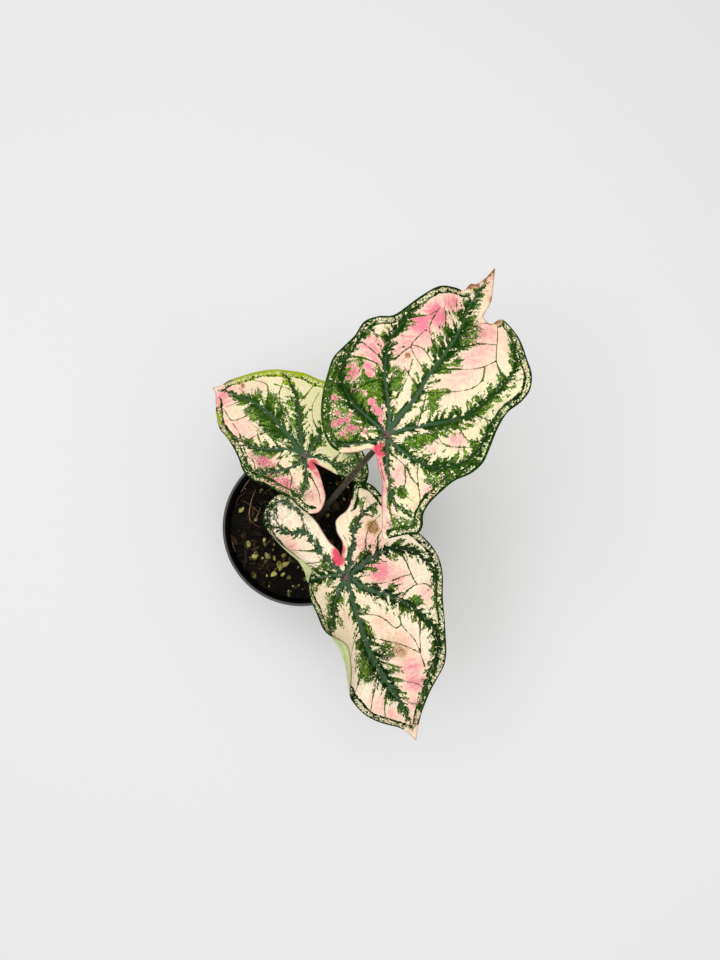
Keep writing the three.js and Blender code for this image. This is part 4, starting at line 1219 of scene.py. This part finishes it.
def add(tree, kind, *inputs, out=None, **settings):
    """Adds a node with its settings and links, and returns one of its outputs."""
    blender_type, keys, first, fixed = NODES[kind]
    made = tree.nodes.new(blender_type)
    for name, value in (fixed | settings).items():
        setattr(made, name, value)
    fill(made, dict(zip(keys, inputs)))
    return made.outputs[first if out is None else out]


def finish(name):
    """A new material, its shader, and the function that adds nodes to it."""
    material = bpy.data.materials.new(name)
    material.use_nodes = True
    tree = material.node_tree
    return material, tree.nodes["Principled BSDF"], partial(add, tree)


def noisy(node, value, *textures):
    """A field with its edges moved about by textures, each by half its amount either way."""
    for texture, amount in textures:
        value = node("sum", value, node("weigh", texture, amount, -0.5 * amount))
    return value


def coat(node, under, *layers):
    """Colours laid over another one after the other, each by its share."""
    for colour, share in layers:
        under = node("layer", share, under, colour)
    return under


# ---------------------------------------------------------------- the finish of the blades


def leaf_patterns(node):
    """The fields that the blade's mesh carries, and the patterns that break up every edge between them."""
    f = SimpleNamespace(**{kind: node("field", attribute_name=kind) for kind in (*VEIN_FIELDS, *PATCH_KINDS)})
    f.flat, grain = (node("field", attribute_name=kind, out="Vector") for kind in ("flat", "grain"))
    # Scales are per millimetre: drifts of 9 mm, patches of 2.2 mm, specks of 0.6 mm and flecks of 0.4 mm.
    f.drift = node("noise", f.flat, 0.11, 3.0)
    f.patch = node("noise", f.flat, 0.45, 4.0, 0.62)
    f.speck = node("noise", f.flat, 1.7, 2.0)
    f.fleck = node("noise", f.flat, 2.3, 3.0, 0.7)
    # Waves of 1.3 mm bend the walls of the cells.
    wave = node("noise", f.flat, 0.75, 3.0, out="Color")
    wave = node("vector", wave, (0.5, 0.5, 0.5), operation="SUBTRACT")
    wavy = node("vector", wave, (2.2, 2.2, 0), f.flat, operation="MULTIPLY_ADD")
    # Slanting cells and stripes are drawn out to 1.8 by 5.6 mm and 1.7 by 7.7 mm along the side veins.
    slant = node("vector", wave, (4.6, 4.6, 0), grain, operation="MULTIPLY_ADD")
    slant = node("vector", slant, (0.56, 0.18, 1), operation="MULTIPLY")
    stripe = node("vector", grain, (0.6, 0.13, 1), operation="MULTIPLY")
    f.stripe = node("noise", stripe, 1.0, 4.0, 0.6)
    drawn = node("cells", slant, 1.0, out="Color")
    f.slits = node("split", drawn, out=1)
    # Small round cells of 1.2 mm, and a net of 1.4 mm.
    f.small = node("split", node("cells", wavy, 0.85, out="Color"))
    f.walls = node("cells", wavy, 0.7, feature="DISTANCE_TO_EDGE")
    f.cells = node("weigh", node("split", drawn), 0.75, node("times", f.small, 0.25))
    # The green border of the veins, above 0; the flood of green; and the flush of pink.
    border = noisy(node, node("weigh", f.cells, 3.7, -0.65), (f.speck, 0.8))
    f.border = node("weigh", f.white, 0.3, node("weigh", f.reach, -1, border))
    f.flooding = noisy(node, f.flood, (f.speck, 0.4), (f.patch, 0.8), (f.cells, 0.55))
    f.flush = noisy(node, f.pink, (f.patch, 0.9), (f.stripe, 1.5), (f.speck, 0.5))
    # How far a place belongs to the whitest blade, whose greens are the darkest.
    f.dusky = node("step", f.white, 0.3, 0.9)
    # The inner edge of the margin, and the hairlines, which come and go.
    f.inner = noisy(node, f.margin, (f.drift, 2.2))
    hairline = node("step", noisy(node, f.lines, (f.speck, 0.5)), -0.06, 0.1, 1, 0)
    f.hairline = node("times", hairline, node("step", f.patch, 0.34, 0.5))
    return f


def leaf_ground(node, f, colours):
    """Cream that drifts to ivory, with a pale flush, rose blotches and the hot pink of the notch."""
    webs = node("times", node("step", f.net, 0.2, 0.5), node("step", f.walls, 0.05, 0.14, 1, 0))
    beads = node("step", noisy(node, f.margin, (f.cells, 1)), 3.2, 4.4, 1, 0)
    fringe = node("times", node("step", f.border, -0.3, 0), node("step", f.plain, 1, 3))
    near = node("step", f.border, -1.3, 0, 0, 0.6)
    stain = noisy(node, f.brown, (f.patch, 0.5), (f.fleck, 0.4))
    scorch = node("step", noisy(node, f.brown, (f.patch, 0.7), (f.speck, 0.4)), 0.35, 0.75)
    return coat(
        node,
        colours["cream"],
        (colours["ivory"], node("step", noisy(node, f.fresh, (f.drift, 1.6)), 0.2, 0.7)),
        (colours["celery"], node("step", noisy(node, f.fresh, (f.patch, 1)), 0.6, 1.2, 0, 0.8)),
        (colours["milk"], node("step", noisy(node, f.white, (f.drift, 1.2)), 0.2, 0.9)),
        (colours["blush"], node("step", noisy(node, f.stripe, (f.fleck, 0.6)), 0.48, 0.66, 0, 0.4)),
        # The leaf is palest right beside the green.
        (colours["halo"], node("most", near, node("step", f.flooding, 0.12, 0.4, 0, 0.6))),
        (colours["blush"], node("step", f.flush, -0.15, 0.45)),
        (colours["rose"], node("step", f.flush, 0.35, 1.2)),
        (colours["hot"], node("step", noisy(node, f.hot, (f.patch, 0.6)), 0.25, 0.85)),
        (colours["shadow"], node("step", f.patch, 0.52, 0.75, 0, 0.3)),
        (colours["net"], node("step", f.walls, 0, 0.09, 0.25, 0)),
        # The beads inside the margin are tinted green, and the net shows through where it is dense.
        (colours["celery"], node("times", beads, node("step", f.plain, 1, 4, 0, 0.4))),
        (colours["hairline"], node("times", webs, node("step", f.flush, 0.2, 0.8, 0, 0.6))),
        (colours["celery"], node("times", fringe, node("step", f.hot, 0.1, 0.5, 0.6, 0))),
        (colours["shadow"], node("step", f.fleck, 0.5, 0.7, 0, 0.32)),
        # Dead spots are brown, inside a stained ring.
        (colours["shadow"], node("step", stain, 0.1, 0.5, 0, 0.75)),
        (colours["scorch"], node("times", scorch, node("step", f.walls, 0.04, 0.3, 0.95, 0.4))),
    )


def green_share(node, f):
    """Where the blade is green: its share, how deep inside the green a place lies, and the margin's vein."""
    # Floods have pale specks left in them, and run out in a net. Pink islands lie in them.
    specks = node("weigh", f.slits, 0.5, node("times", f.small, 0.5))
    specks = node("weigh", f.net, -0.4, noisy(node, specks, (f.speck, 0.3)))
    flooded = node("times", node("step", f.flooding, 0.4, 0.47), node("step", specks, 0.06, 0.14))
    netted = node("step", noisy(node, f.net, (f.patch, 0.8)), 0.4, 0.6)
    netted = node("times", netted, node("step", f.walls, 0.13, 0.2, 1, 0))
    netted = node("times", netted, node("step", f.flood, 0.08, 0.3))
    island = noisy(node, f.pink, (f.patch, 1.5), (f.cells, 0.6), (f.speck, 0.5))
    flooded = node("times", node("most", flooded, netted), node("step", island, 0.66, 0.76, 1, 0))
    inside = node("most", node("step", f.flooding, 0.42, 0.6), node("times", netted, 0.7))
    inside = node("most", node("step", f.border, 0.1, 0.8), inside)
    # Along the margin run a green rim, the collective vein, and a band of net between the two.
    rim = noisy(node, node("weigh", f.white, 0.5, f.margin), (f.cells, 0.9), (f.speck, 0.5))
    gap = node("size", node("sum", f.inner, -BLADE["collective"]))
    collective = node("step", noisy(node, gap, (f.cells, -1.1), (f.speck, 0.4)), 0.46, 0.64, 1, 0)
    filled = node("step", noisy(node, f.small, (f.drift, 2.4)), 0.82, 0.88)
    mesh = node("most", node("step", f.walls, 0.05, 0.1, 1, 0), filled)
    band = node("times", mesh, node("step", noisy(node, f.inner, (f.cells, 1)), 3.6, 4, 1, 0))
    edge = node("most", node("step", rim, 0.9, 1.15, 1, 0), node("most", collective, band))
    # The stretches of plain edge and the dead spots have no green.
    living = node("step", noisy(node, f.plain, (f.cells, 1.6), (f.speck, 0.8)), 2.2, 3)
    green = node("most", node("most", node("step", f.border, 0, 0.16), flooded), edge)
    dried = noisy(node, f.brown, (f.patch, 0.6))
    green = node("times", node("times", green, living), node("step", dried, 0.45, 0.6, 1, 0))
    # Single green freckles lie where the net is dense.
    freckles = node("step", noisy(node, f.fleck, (f.small, 0.2)), 0.62, 0.66)
    freckles = node("times", node("step", noisy(node, f.net, (f.patch, 0.6)), 0.3, 0.6), freckles)
    return node("most", green, node("times", freckles, living)), inside, collective


def leaf_green(node, f, colours, deep, inside, collective):
    """Leaf green with lighter flecks, dark beside the veins, at its edges and along the margin."""
    beside = node("step", noisy(node, f.reach, (f.cells, 1.4), (f.fleck, 1.6)), 0.5, 1.8, 1, 0)
    edging = node("step", noisy(node, f.margin, (f.small, 0.8)), 3.6, 4.6, 1, 0)
    leafy = coat(
        node,
        colours["green"],
        (colours["bright"], node("step", noisy(node, f.fleck, (f.patch, 0.4), (f.cells, 0.15)), 0.47, 0.7)),
        (colours["halo"], node("step", noisy(node, f.fleck, (f.small, 0.3)), 0.61, 0.74, 0, 0.5)),
        (deep, node("times", f.dusky, 0.4)),
    )
    return coat(
        node,
        deep,
        (leafy, inside),
        (deep, node("times", beside, node("weigh", f.fresh, -0.3, 1))),
        (deep, node("times", node("most", edging, collective), 0.7)),
        (colours["lime"], node("times", node("step", f.lime, 0.25, 0.75), node("step", f.small, 0.3, 0.7))),
    )


def main_veins(node, f, colours, deep):
    """The main veins: where they lie, and their colour, which fades from blue-green into leaf green."""
    away = node("vector", f.flat, (1, 1, 0), operation="MULTIPLY")
    away = node("vector", away, operation="LENGTH", out=1)
    aside = node("size", node("part", f.flat, out="Y"))
    faded = node("step", noisy(node, away, (f.patch, 30)), 10, 70)
    faded = node("most", node("times", faded, node("weigh", f.dusky, -0.7, 1)), node("times", f.fresh, 0.6))
    # The veins of the whitest blade are the most ragged, and mottled with darker cells.
    frayed = node("sum", f.core, node("times", node("weigh", f.cells, -2.6, 0.7), f.dusky))
    edging = node("step", noisy(node, frayed, (f.speck, 0.9), (f.fleck, 1.2)), -0.6, 0.1)
    mottle = node("step", noisy(node, f.slits, (f.patch, 1.6)), 0.5, 0.75)
    # The blue-grey of the main veins near the joint is partly their own slate colour and partly a painted
    # sheen.
    colour = coat(
        node,
        colours["vein"],
        (colours["green"], node("times", faded, 0.6)),
        (deep, node("times", edging, node("weigh", f.dusky, -0.3, 0.6))),
        (deep, node("times", mottle, node("times", f.dusky, 0.6))),
        (deep, node("step", noisy(node, aside, (f.patch, 14)), 12, 32, 0, 0.8)),
        (colours["joint"], node("step", noisy(node, away, (f.speck, 1.5)), 0.8, 3, 1, 0)),
    )
    ragged = noisy(node, frayed, (f.speck, 0.6), (f.fleck, 0.8), (f.cells, -0.8))
    return node("step", ragged, -0.1, 0.15, 1, 0), colour


def leaf_finish(colours, underside):
    """A caladium blade: thin matte leaf, cream and pink between dark veins edged with ragged green."""
    # The blade is a thin waxy skin, so it has a broad soft gloss and no sharp lights.
    material, shader, node = finish("caladium leaf underside" if underside else "variegated caladium leaf")
    f = leaf_patterns(node)
    deep = coat(node, colours["deep"], (colours["darkest"], f.dusky))
    green, inside, collective = green_share(node, f)
    core, vein = main_veins(node, f, colours, deep)
    limy = node("step", noisy(node, f.margin, (f.patch, 1.4)), 1, 2.2, 1, 0)
    hem = node("weigh", f.brown, -0.7, noisy(node, f.plain, (f.patch, 0.5)))
    surface = coat(
        node,
        leaf_ground(node, f, colours),
        (leaf_green(node, f, colours, deep, inside, collective), green),
        (colours["lime"], node("times", limy, node("step", f.lime, 0.25, 0.7, 0, 0.85))),
        # Plain edges have a thin brown hem, wide and dark where the edge has dried.
        (
            coat(node, colours["hem"], (colours["scorch"], node("step", f.brown, 0.2, 0.8))),
            node("step", hem, 0.2, 0.6, 0.7, 0),
        ),
        (colours["hairline"], node("times", f.hairline, node("step", f.stripe, 0.15, 0.65))),
        (vein, node("times", core, node("step", f.plain, 0.4, 1.2))),
    )
    if underside:
        # The colours show through the pale green underside, under darker ribs and a thin brown edge.
        edge = noisy(node, node("least", f.margin, f.plain), (f.speck, -0.3))
        surface = coat(
            node,
            surface,
            (colours["underside"], node("weigh", f.patch, 0.2, 0.72)),
            (colours["rib"], node("times", node("most", core, f.hairline), 0.8)),
            (colours["hem"], node("step", edge, 0.4, 0.7, 0.5, 0)),
        )
    # The skin is finely pitted, and puckers along the net of small veins.
    relief = noisy(node, node("step", f.walls, 0, 0.2, -0.45, 0), (f.speck, 0.9))
    relief = node("weigh", f.hairline, -1, relief)
    shader.inputs["IOR"].default_value = 1.42
    shader.inputs["Specular IOR Level"].default_value = 0.04
    wired = {
        "Base Color": surface,
        "Roughness": node("remap", f.speck, 0.3, 0.7, 0.46, 0.64),
        "Normal": node("bump", relief, 0.5, 0.0003),
    }
    fill(shader, wired)
    return material


# ---------------------------------------------------------------- the other finishes

# The finishes of crumbs: name, roughness and grains per metre.
CRUMBS = {
    # Damp flakes of composted bark: dull, nearly black, with browner faces. Grains of 1.4 mm.
    "bark_chips": ("composted pine bark", 0.8, 700.0),
    # White glass foam under a film of algae: yellow-green, rough and dry. Grains of 2.4 mm.
    "perlite": ("perlite grown over with algae", 0.85, 420.0),
    # Wet, fibrous crumbs, dark and without a shine. Grains of 1.1 mm.
    "peat_crumbs": ("peat crumbs", 0.9, 900.0),
    # Dry, pale brown fibre. Grains of 2 mm.
    "root_fibres": ("dry root fibre", 0.8, 500.0),
    # Corky brown skin with rings of old leaf scars, quite matte. Grains of 3.3 mm.
    "tuber": ("corky tuber skin", 0.9, 300.0),
}


def crumb_finish(name, mix):
    """Bark, grit, root or cork: a colour between two tones for each piece, with a grained, matte skin."""
    title, rough, grains = CRUMBS[name]
    material, shader, node = finish(title)
    grain = node("noise", node("place"), grains, 4.0, 0.65)
    tone = node("power", node("field", attribute_name="tone"), 1.7)
    share = node("sum", tone, node("weigh", grain, 1.4, -0.7), use_clamp=True)
    shader.inputs["Roughness"].default_value = rough
    shader.inputs["Specular IOR Level"].default_value = 0.15
    skin = coat(node, mix[f"{name}_dark"], (mix[f"{name}_pale"], share))
    fill(shader, {"Base Color": skin, "Normal": node("bump", grain, 0.6, 0.0004)})
    return material


def petiole_finish(colours):
    """A caladium petiole: smooth, nearly black olive skin, with paler streaks along its length."""
    # The skin is thin and waxy over wet tissue, so it has a soft sheen.
    material, shader, node = finish("dark olive petiole skin")
    place = node("place")
    # Scales are per metre: streaks of 1 mm by 15 mm along the stem, and a mottle of 5 mm.
    streak = node("noise", node("stretch", place, (1500.0, 1500.0, 110.0)), 0.6, 3.0)
    mottle = node("noise", place, 210.0, 3.0)
    skin = coat(
        node,
        colours["petiole"],
        (colours["streak"], node("remap", streak, 0.42, 0.68)),
        # It is darkest near the mix, at heights from 0.1 to 0.19 m.
        (colours["petiole"], node("remap", node("part", place, out="Z"), 0.1, 0.19, 0.8, 0)),
        (colours["sheath"], node("remap", mottle, 0.5, 0.75, 0, 0.55)),
    )
    shader.inputs["Roughness"].default_value = 0.38
    shader.inputs["IOR"].default_value = 1.42
    fill(shader, {"Base Color": skin, "Normal": node("bump", streak, 0.3, 0.0002)})
    return material


def plastic_finish(pot):
    """Vacuum-formed black polystyrene: thin, satin, a little dusty, with faint marks round the wall."""
    # Draw marks stretch the satin lights round the wall, and the dust dulls them.
    material, shader, node = finish("black moulded polystyrene")
    place = node("place")
    # Scales are per metre: dust of 4 mm, and draw marks 33 mm long and 3 mm high.
    dust = node("noise", place, 260.0, 6.0, 0.7)
    marks = node("noise", node("stretch", place, (30.0, 30.0, 330.0)), 1.0, 3.0)
    # The uppermost 1.4 mm of the lip is painted a little paler grey, a painted highlight along the rim.
    lip = [(pot["height"] - below) * MM for below in (1.4, 0.2)]
    skin = coat(
        node,
        pot["plastic"],
        (pot["dust"], node("remap", dust, 0.52, 0.8, 0, 0.5)),
        (pot["scuff"], node("remap", node("part", place, out="Z"), *lip, 0, 0.75)),
    )
    shader.inputs["IOR"].default_value = 1.57
    shader.inputs["Specular IOR Level"].default_value = 0.3
    wired = {
        "Base Color": skin,
        "Roughness": node("remap", marks, 0.3, 0.7, 0.3, 0.44),
        "Normal": node("bump", node("sum", marks, dust), 0.25, 0.0003),
    }
    fill(shader, wired)
    return material


def mix_finish(mix):
    """Damp peat: nearly black crumbs with brown fibres and lighter dry grains."""
    # Crumbs that hold water glint a little, and the dry fibres between them don't.
    material, shader, node = finish("damp peat")
    place = node("place")
    # Scales are per metre: crumbs of 2.4 mm, lumps of 11 mm and grains of 1.9 mm.
    crumbs = node("noise", place, 420.0, 5.0, 0.7)
    lumps = node("noise", place, 90.0, 3.0)
    grains = node("cells", place, 520.0)
    skin = coat(
        node,
        mix["peat"],
        (mix["humus"], node("remap", lumps, 0.45, 0.7)),
        (mix["fibre"], node("remap", crumbs, 0.62, 0.76, 0, 0.6)),
    )
    shader.inputs["Specular IOR Level"].default_value = 0.12
    wired = {
        "Base Color": skin,
        "Roughness": node("remap", crumbs, 0.3, 0.7, 0.55, 0.95),
        "Normal": node("bump", node("less", crumbs, grains), 0.9, 0.0012),
    }
    fill(shader, wired)
    return material


# ---------------------------------------------------------------- what a user can change


def colour(name, description, value):
    """A colour setting with an sRGB hex default."""
    return FloatVectorProperty(
        name=name, description=description, subtype="COLOR", size=4, min=0, max=1, default=linear(value)
    )


def amount(name, description, value, **limits):
    """A number setting that can't be negative."""
    return FloatProperty(name=name, description=description, default=value, min=0, **limits)


def length(name, description, millimetres):
    """A length setting with a default in millimetres."""
    return amount(name, description, millimetres * MM, unit="LENGTH", precision=5)


def number(name, description, value, highest, lowest=0):
    """A setting that counts something."""
    return IntProperty(name=name, description=description, default=value, min=lowest, max=highest)


class CaladiumLeafSettings(bpy.types.PropertyGroup):
    """The sizes and colours of the blades and the petioles"""

    thickness: length("Blade thickness", "Thickness of the blades between their veins", 0.35)
    rib_depth: length("Rib depth", "Thickness of the blades at the foot of their main veins", 1.5)
    quilting: length("Quilting", "How far the blades swell up between their veins", 1.3)
    foot_radius: length("Foot radius", "Radius of the petioles where they leave the tuber", 3)
    foot_length: length("Foot length", "How far up the thick foot of a petiole reaches", 26)
    shaft_radius: length("Shaft radius", "Radius of the petioles above the foot", 2.1)
    neck_radius: length("Neck radius", "Radius of the petioles below the blade", 1.5)
    socket_radius: length("Socket radius", "Radius of the petioles where they meet the blade", 2)
    socket_length: length("Socket length", "How far down the flare under the blade reaches", 5)
    cream: colour("Cream", "Ground colour of the blades", "FCEECA")
    ivory: colour("Ivory", "Greener, yellower stretches of the ground colour", "EDEFBD")
    milk: colour("Milk", "Whiter stretches of the ground colour", "FBF2DA")
    celery: colour("Celery", "Pale green tint of the youngest stretches", "CFDB94")
    halo: colour("Halo", "Palest leaf, right beside the green", "F3F6CC")
    blush: colour("Blush", "Pale pink flush on the blades", "FCD7C3")
    rose: colour("Rose", "Pink blotches", "F2809B")
    hot: colour("Hot pink", "Notch where the petiole meets the blade", "E23A64")
    net: colour("Net", "Finest net of veins", "BE9A5E")
    shadow: colour("Mottle", "Soft mottling of the ground colour", "E6BE96")
    scorch: colour("Scorch", "Brown dead spots", "8E6136")
    hem: colour("Hem", "Thin edge of the plain stretches of the margin", "B0766A")
    green: colour("Green", "Leaf green", "275506")
    bright: colour("Bright green", "Lighter flecks in the leaf green", "98B83A")
    deep: colour("Deep green", "Leaf green beside the veins and at the margin", "103402")
    darkest: colour("Darkest green", "The same on the whitest blade", "071F02")
    lime: colour("Lime", "Yellow-green margin of the oldest leaf", "9DAE1C")
    hairline: colour("Hairline", "Fine side veins", "43521B")
    # Its blue-grey is partly the veins' own slate colour and partly a painted sheen.
    vein: colour("Vein", "Main veins near the petiole", "465D47")
    joint: colour("Joint", "Where the main veins meet", "6B5552")
    underside: colour("Underside", "Underside of the blades", "C5D394")
    rib: colour("Rib", "Ribs under the blades", "8AA85C")
    petiole: colour("Petiole", "Skin of the petioles", "17160A")
    streak: colour("Petiole streak", "Paler streaks along the petioles", "5A5036")
    sheath: colour("Petiole mottle", "Brown mottling of the petioles", "3A340C")


class CaladiumPotSettings(bpy.types.PropertyGroup):
    """The sizes and colours of the pot"""

    height: length("Height", "Height of the pot", 88)
    rim_radius: length("Rim radius", "Outside radius of the rim", 50)
    band_height: length("Band height", "Height of the stiffening band below the rim", 11)
    band_step: length("Band step", "How far the band stands out from the wall", 1.3)
    band_draft: length("Band draft", "How far the band widens up to the rim", 0.9)
    band_shoulder: length("Band shoulder", "Height of the slope under the band", 1)
    base_radius: length("Base radius", "Outside radius of the base", 36)
    wall: length("Wall", "Thickness of the wall", 1.1)
    lip: length("Lip", "Width of the lip", 1.7)
    lip_round: length("Lip rounding", "Rounding of the edges of the lip", 0.5)
    floor: length("Floor", "Thickness of the floor", 1.6)
    floor_round: length("Floor rounding", "Rounding between the floor and the wall", 1.4)
    foot_chamfer: length("Foot chamfer", "Chamfer round the base", 1.2)
    drain_radius: length("Drain radius", "Radius of a drain hole", 4)
    drain_circle: length("Drain circle", "Radius of the circle of drain holes", 26)
    drain_count: number("Drain holes", "Number of drain holes", 8, 12, 1)
    plastic: colour("Pot", "Plastic of the pot", "0A0B0C")
    dust: colour("Dust", "Dust on the pot", "201F1D")
    # A paler grey painted on the top of the lip as a highlight along the rim.
    scuff: colour("Lip highlight", "Paler top of the lip, a painted highlight", "403F3E")


class CaladiumMixSettings(bpy.types.PropertyGroup):
    """The level and colours of the potting mix, and what lies on it"""

    level: length("Level", "Height of the mix in the pot", 79)
    bark_chips: number("Bark chips", "Pieces of bark on the mix", 150, 400)
    perlite: number("Grit", "Pale grains on the mix", 130, 400)
    peat_crumbs: number("Crumbs", "Small dark crumbs on the mix", 900, 2500)
    root_fibres: number("Roots", "Dry fibres lying on the mix", 26, 80, 1)
    peat: colour("Peat", "Damp potting mix", "090706")
    humus: colour("Humus", "Browner lumps in the mix", "150F09")
    fibre: colour("Fibre", "Dry fibres in the mix", "35271A")
    bark_chips_dark: colour("Damp bark", "Darkest bark chips", "0E0906")
    bark_chips_pale: colour("Bark", "Lightest bark chips", "3E2C1B")
    perlite_dark: colour("Algae", "Grit that is grown over", "1E2206")
    perlite_pale: colour("Grit colour", "Lightest grit", "BEB66A")
    peat_crumbs_dark: colour("Damp crumbs", "Darkest crumbs", "080604")
    peat_crumbs_pale: colour("Dry crumbs", "Lightest crumbs", "241A10")
    root_fibres_dark: colour("Dark roots", "Darkest dry fibres on the mix", "2E2016")
    root_fibres_pale: colour("Pale roots", "Lightest dry fibres on the mix", "8A6A50")
    tuber_dark: colour("Tuber", "Darkest cork of the tuber", "3B2616")
    tuber_pale: colour("Tuber cork", "Lightest cork of the tuber", "7A5636")


class CaladiumStageSettings(bpy.types.PropertyGroup):
    """The floor, the lights and the camera"""

    floor: colour("Floor", "Plain pale floor", "E7E7E9")
    key_power: amount("Key light", "Power of the large soft light", 9.0, unit="POWER")
    fill_power: amount("Fill light", "Power of the low light from the side", 1.0, unit="POWER")
    sky: amount("Sky", "Strength of the even light all round", 0.56, max=5)
    sky_colour: colour("Sky colour", "Colour of the even light all round", "FAF8F6")
    camera_place: FloatVectorProperty(
        name="Camera place",
        description="Where the camera stands",
        default=(0.0369986, -0.0025345, 0.544936),
        subtype="TRANSLATION",
        unit="LENGTH",
    )
    camera_tilt: amount("Camera tilt", "Its lean from looking straight down", CAMERA_TILT, subtype="ANGLE")
    lens: amount("Lens", "Focal length of the camera", 27.04, unit="CAMERA")


def plain(settings):
    """A group's settings by name, with lengths in millimetres and colours as tuples."""
    found = {}
    for name in settings.__annotations__:
        value, kind = getattr(settings, name), settings.bl_rna.properties[name]
        if kind.unit == "LENGTH":
            value = round(value / MM, 4)
        found[name] = tuple(value) if kind.subtype == "COLOR" else value
    return found


# ---------------------------------------------------------------- operators


class CALADIUM_OT_stage(bpy.types.Operator):
    """Sets up the pale floor, the soft lights and the camera"""

    bl_idname = "caladium.stage"
    bl_label = "Stage"

    def execute(self, context):
        scene, settings = context.scene, context.scene.caladium_stage
        bpy.ops.object.select_all(action="DESELECT")
        bpy.ops.mesh.primitive_plane_add(size=FLOOR_WIDTH, location=(0, 0, -FLOOR_DROP))
        floor = context.object
        floor.name = "floor"
        # Smooth painted board, nearly white and quite matte, so that only soft shadows show on it.
        material, shader, _ = finish("matte white board")
        shader.inputs["Base Color"].default_value = tuple(settings.floor)
        shader.inputs["Roughness"].default_value = 0.85
        floor.data.materials.append(material)
        for name, (place, width, turn) in LIGHTS.items():
            turn = [math.radians(a) for a in turn]
            bpy.ops.object.light_add(type="AREA", radius=width, location=place, rotation=turn)
            context.object.name = name
            context.object.data.energy = getattr(settings, f"{name}_power")
        scene.world = bpy.data.worlds.new("studio")
        scene.world.use_nodes = True
        back = scene.world.node_tree.nodes["Background"]
        back.inputs["Color"].default_value = tuple(settings.sky_colour)
        back.inputs["Strength"].default_value = settings.sky
        bpy.ops.object.camera_add(location=settings.camera_place, rotation=(settings.camera_tilt, 0, 0))
        scene.camera = context.object
        scene.camera.data.sensor_fit = "VERTICAL"
        scene.camera.data.sensor_height = SENSOR_HEIGHT
        scene.camera.data.lens = settings.lens
        scene.camera.data.clip_start = CAMERA_NEAR
        scene.view_settings.view_transform = "Standard"
        return {"FINISHED"}


class CALADIUM_OT_pot(bpy.types.Operator):
    """Spins the nursery pot"""

    bl_idname = "caladium.pot"
    bl_label = "Pot"

    def execute(self, context):
        pot = plain(context.scene.caladium_pot)
        make_pot(pot, plastic_finish(pot))
        return {"FINISHED"}


class CALADIUM_OT_mix(bpy.types.Operator):
    """Fills the pot with potting mix and finishes the tuber inside it"""

    bl_idname = "caladium.mix"
    bl_label = "Potting mix"

    def execute(self, context):
        pot, mix = plain(context.scene.caladium_pot), plain(context.scene.caladium_mix)
        make_mix(pot, mix, mix_finish(mix))
        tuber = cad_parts["tuber"]
        tuber.data.materials.clear()
        tuber.data.materials.append(crumb_finish("tuber", mix))
        return {"FINISHED"}


class CALADIUM_OT_litter(bpy.types.Operator):
    """Scatters bark chips, grit, crumbs and fine roots over the mix"""

    bl_idname = "caladium.litter"
    bl_label = "Bark, grit and roots"

    def execute(self, context):
        pot, mix = plain(context.scene.caladium_pot), plain(context.scene.caladium_mix)
        inside = wall_radius(pot, mix["level"]) - pot["wall"]
        sphere = bpy.ops.mesh.primitive_ico_sphere_add
        fine, coarse = (started(sphere, "lump", subdivisions=cuts, radius=1) for cuts in (2, 1))
        for name, lump in (("bark_chips", fine), ("perlite", fine), ("peat_crumbs", coarse)):
            scatter(name, lump, mix[name], inside - LITTER_CLEAR, mix, crumb_finish(name, mix))
        make_roots(mix["root_fibres"], inside - ROOT_CLEAR, mix, crumb_finish("root_fibres", mix))
        for lump in (fine, coarse):
            bpy.data.objects.remove(lump)
        return {"FINISHED"}


class CALADIUM_OT_petioles(bpy.types.Operator):
    """Raises the three petioles"""

    bl_idname = "caladium.petioles"
    bl_label = "Petioles"

    def execute(self, context):
        plant = plain(context.scene.caladium_leaves)
        skin = petiole_finish(plant)
        for name in LEAVES:
            make_petiole(name, plant, skin)
        return {"FINISHED"}


class CALADIUM_OT_blades(bpy.types.Operator):
    """Cuts, folds and quilts the three leaf blades"""

    bl_idname = "caladium.blades"
    bl_label = "Leaf blades"

    def execute(self, context):
        plant = plain(context.scene.caladium_leaves)
        top, under = leaf_finish(plant, False), leaf_finish(plant, True)
        for name in LEAVES:
            make_blade(name, plant, top, under)
        return {"FINISHED"}


class CALADIUM_PT_panel(bpy.types.Panel):
    """Lists the steps and the settings"""

    bl_idname = "CALADIUM_PT_panel"
    bl_label = "Potted caladium"
    bl_space_type = "VIEW_3D"
    bl_region_type = "UI"
    bl_category = "Caladium"

    def draw(self, context):
        layout = self.layout
        for step in STEPS:
            layout.operator(step.bl_idname)
        for group in GROUPS:
            box = layout.box()
            settings = getattr(context.scene, group)
            for name in settings.__annotations__:
                box.prop(settings, name)


STEPS = (
    CALADIUM_OT_stage,
    CALADIUM_OT_pot,
    CALADIUM_OT_mix,
    CALADIUM_OT_litter,
    CALADIUM_OT_petioles,
    CALADIUM_OT_blades,
)
GROUPS = {
    "caladium_leaves": CaladiumLeafSettings,
    "caladium_pot": CaladiumPotSettings,
    "caladium_mix": CaladiumMixSettings,
    "caladium_stage": CaladiumStageSettings,
}


def register():
    """Registers the settings, the steps and the panel."""
    for group in (*GROUPS.values(), *STEPS, CALADIUM_PT_panel):
        bpy.utils.register_class(group)
    for name, group in GROUPS.items():
        setattr(bpy.types.Scene, name, PointerProperty(type=group))


def unregister():
    """Takes them away again."""
    for name in GROUPS:
        delattr(bpy.types.Scene, name)
    for group in (CALADIUM_PT_panel, *reversed(STEPS), *GROUPS.values()):
        bpy.utils.unregister_class(group)


def main():
    """Builds the plant step by step."""
    register()
    bpy.ops.caladium.stage()
    bpy.ops.caladium.pot()
    bpy.ops.caladium.mix()
    bpy.ops.caladium.litter()
    bpy.ops.caladium.petioles()
    bpy.ops.caladium.blades()
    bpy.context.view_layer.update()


if __name__ == "__main__":
    main()
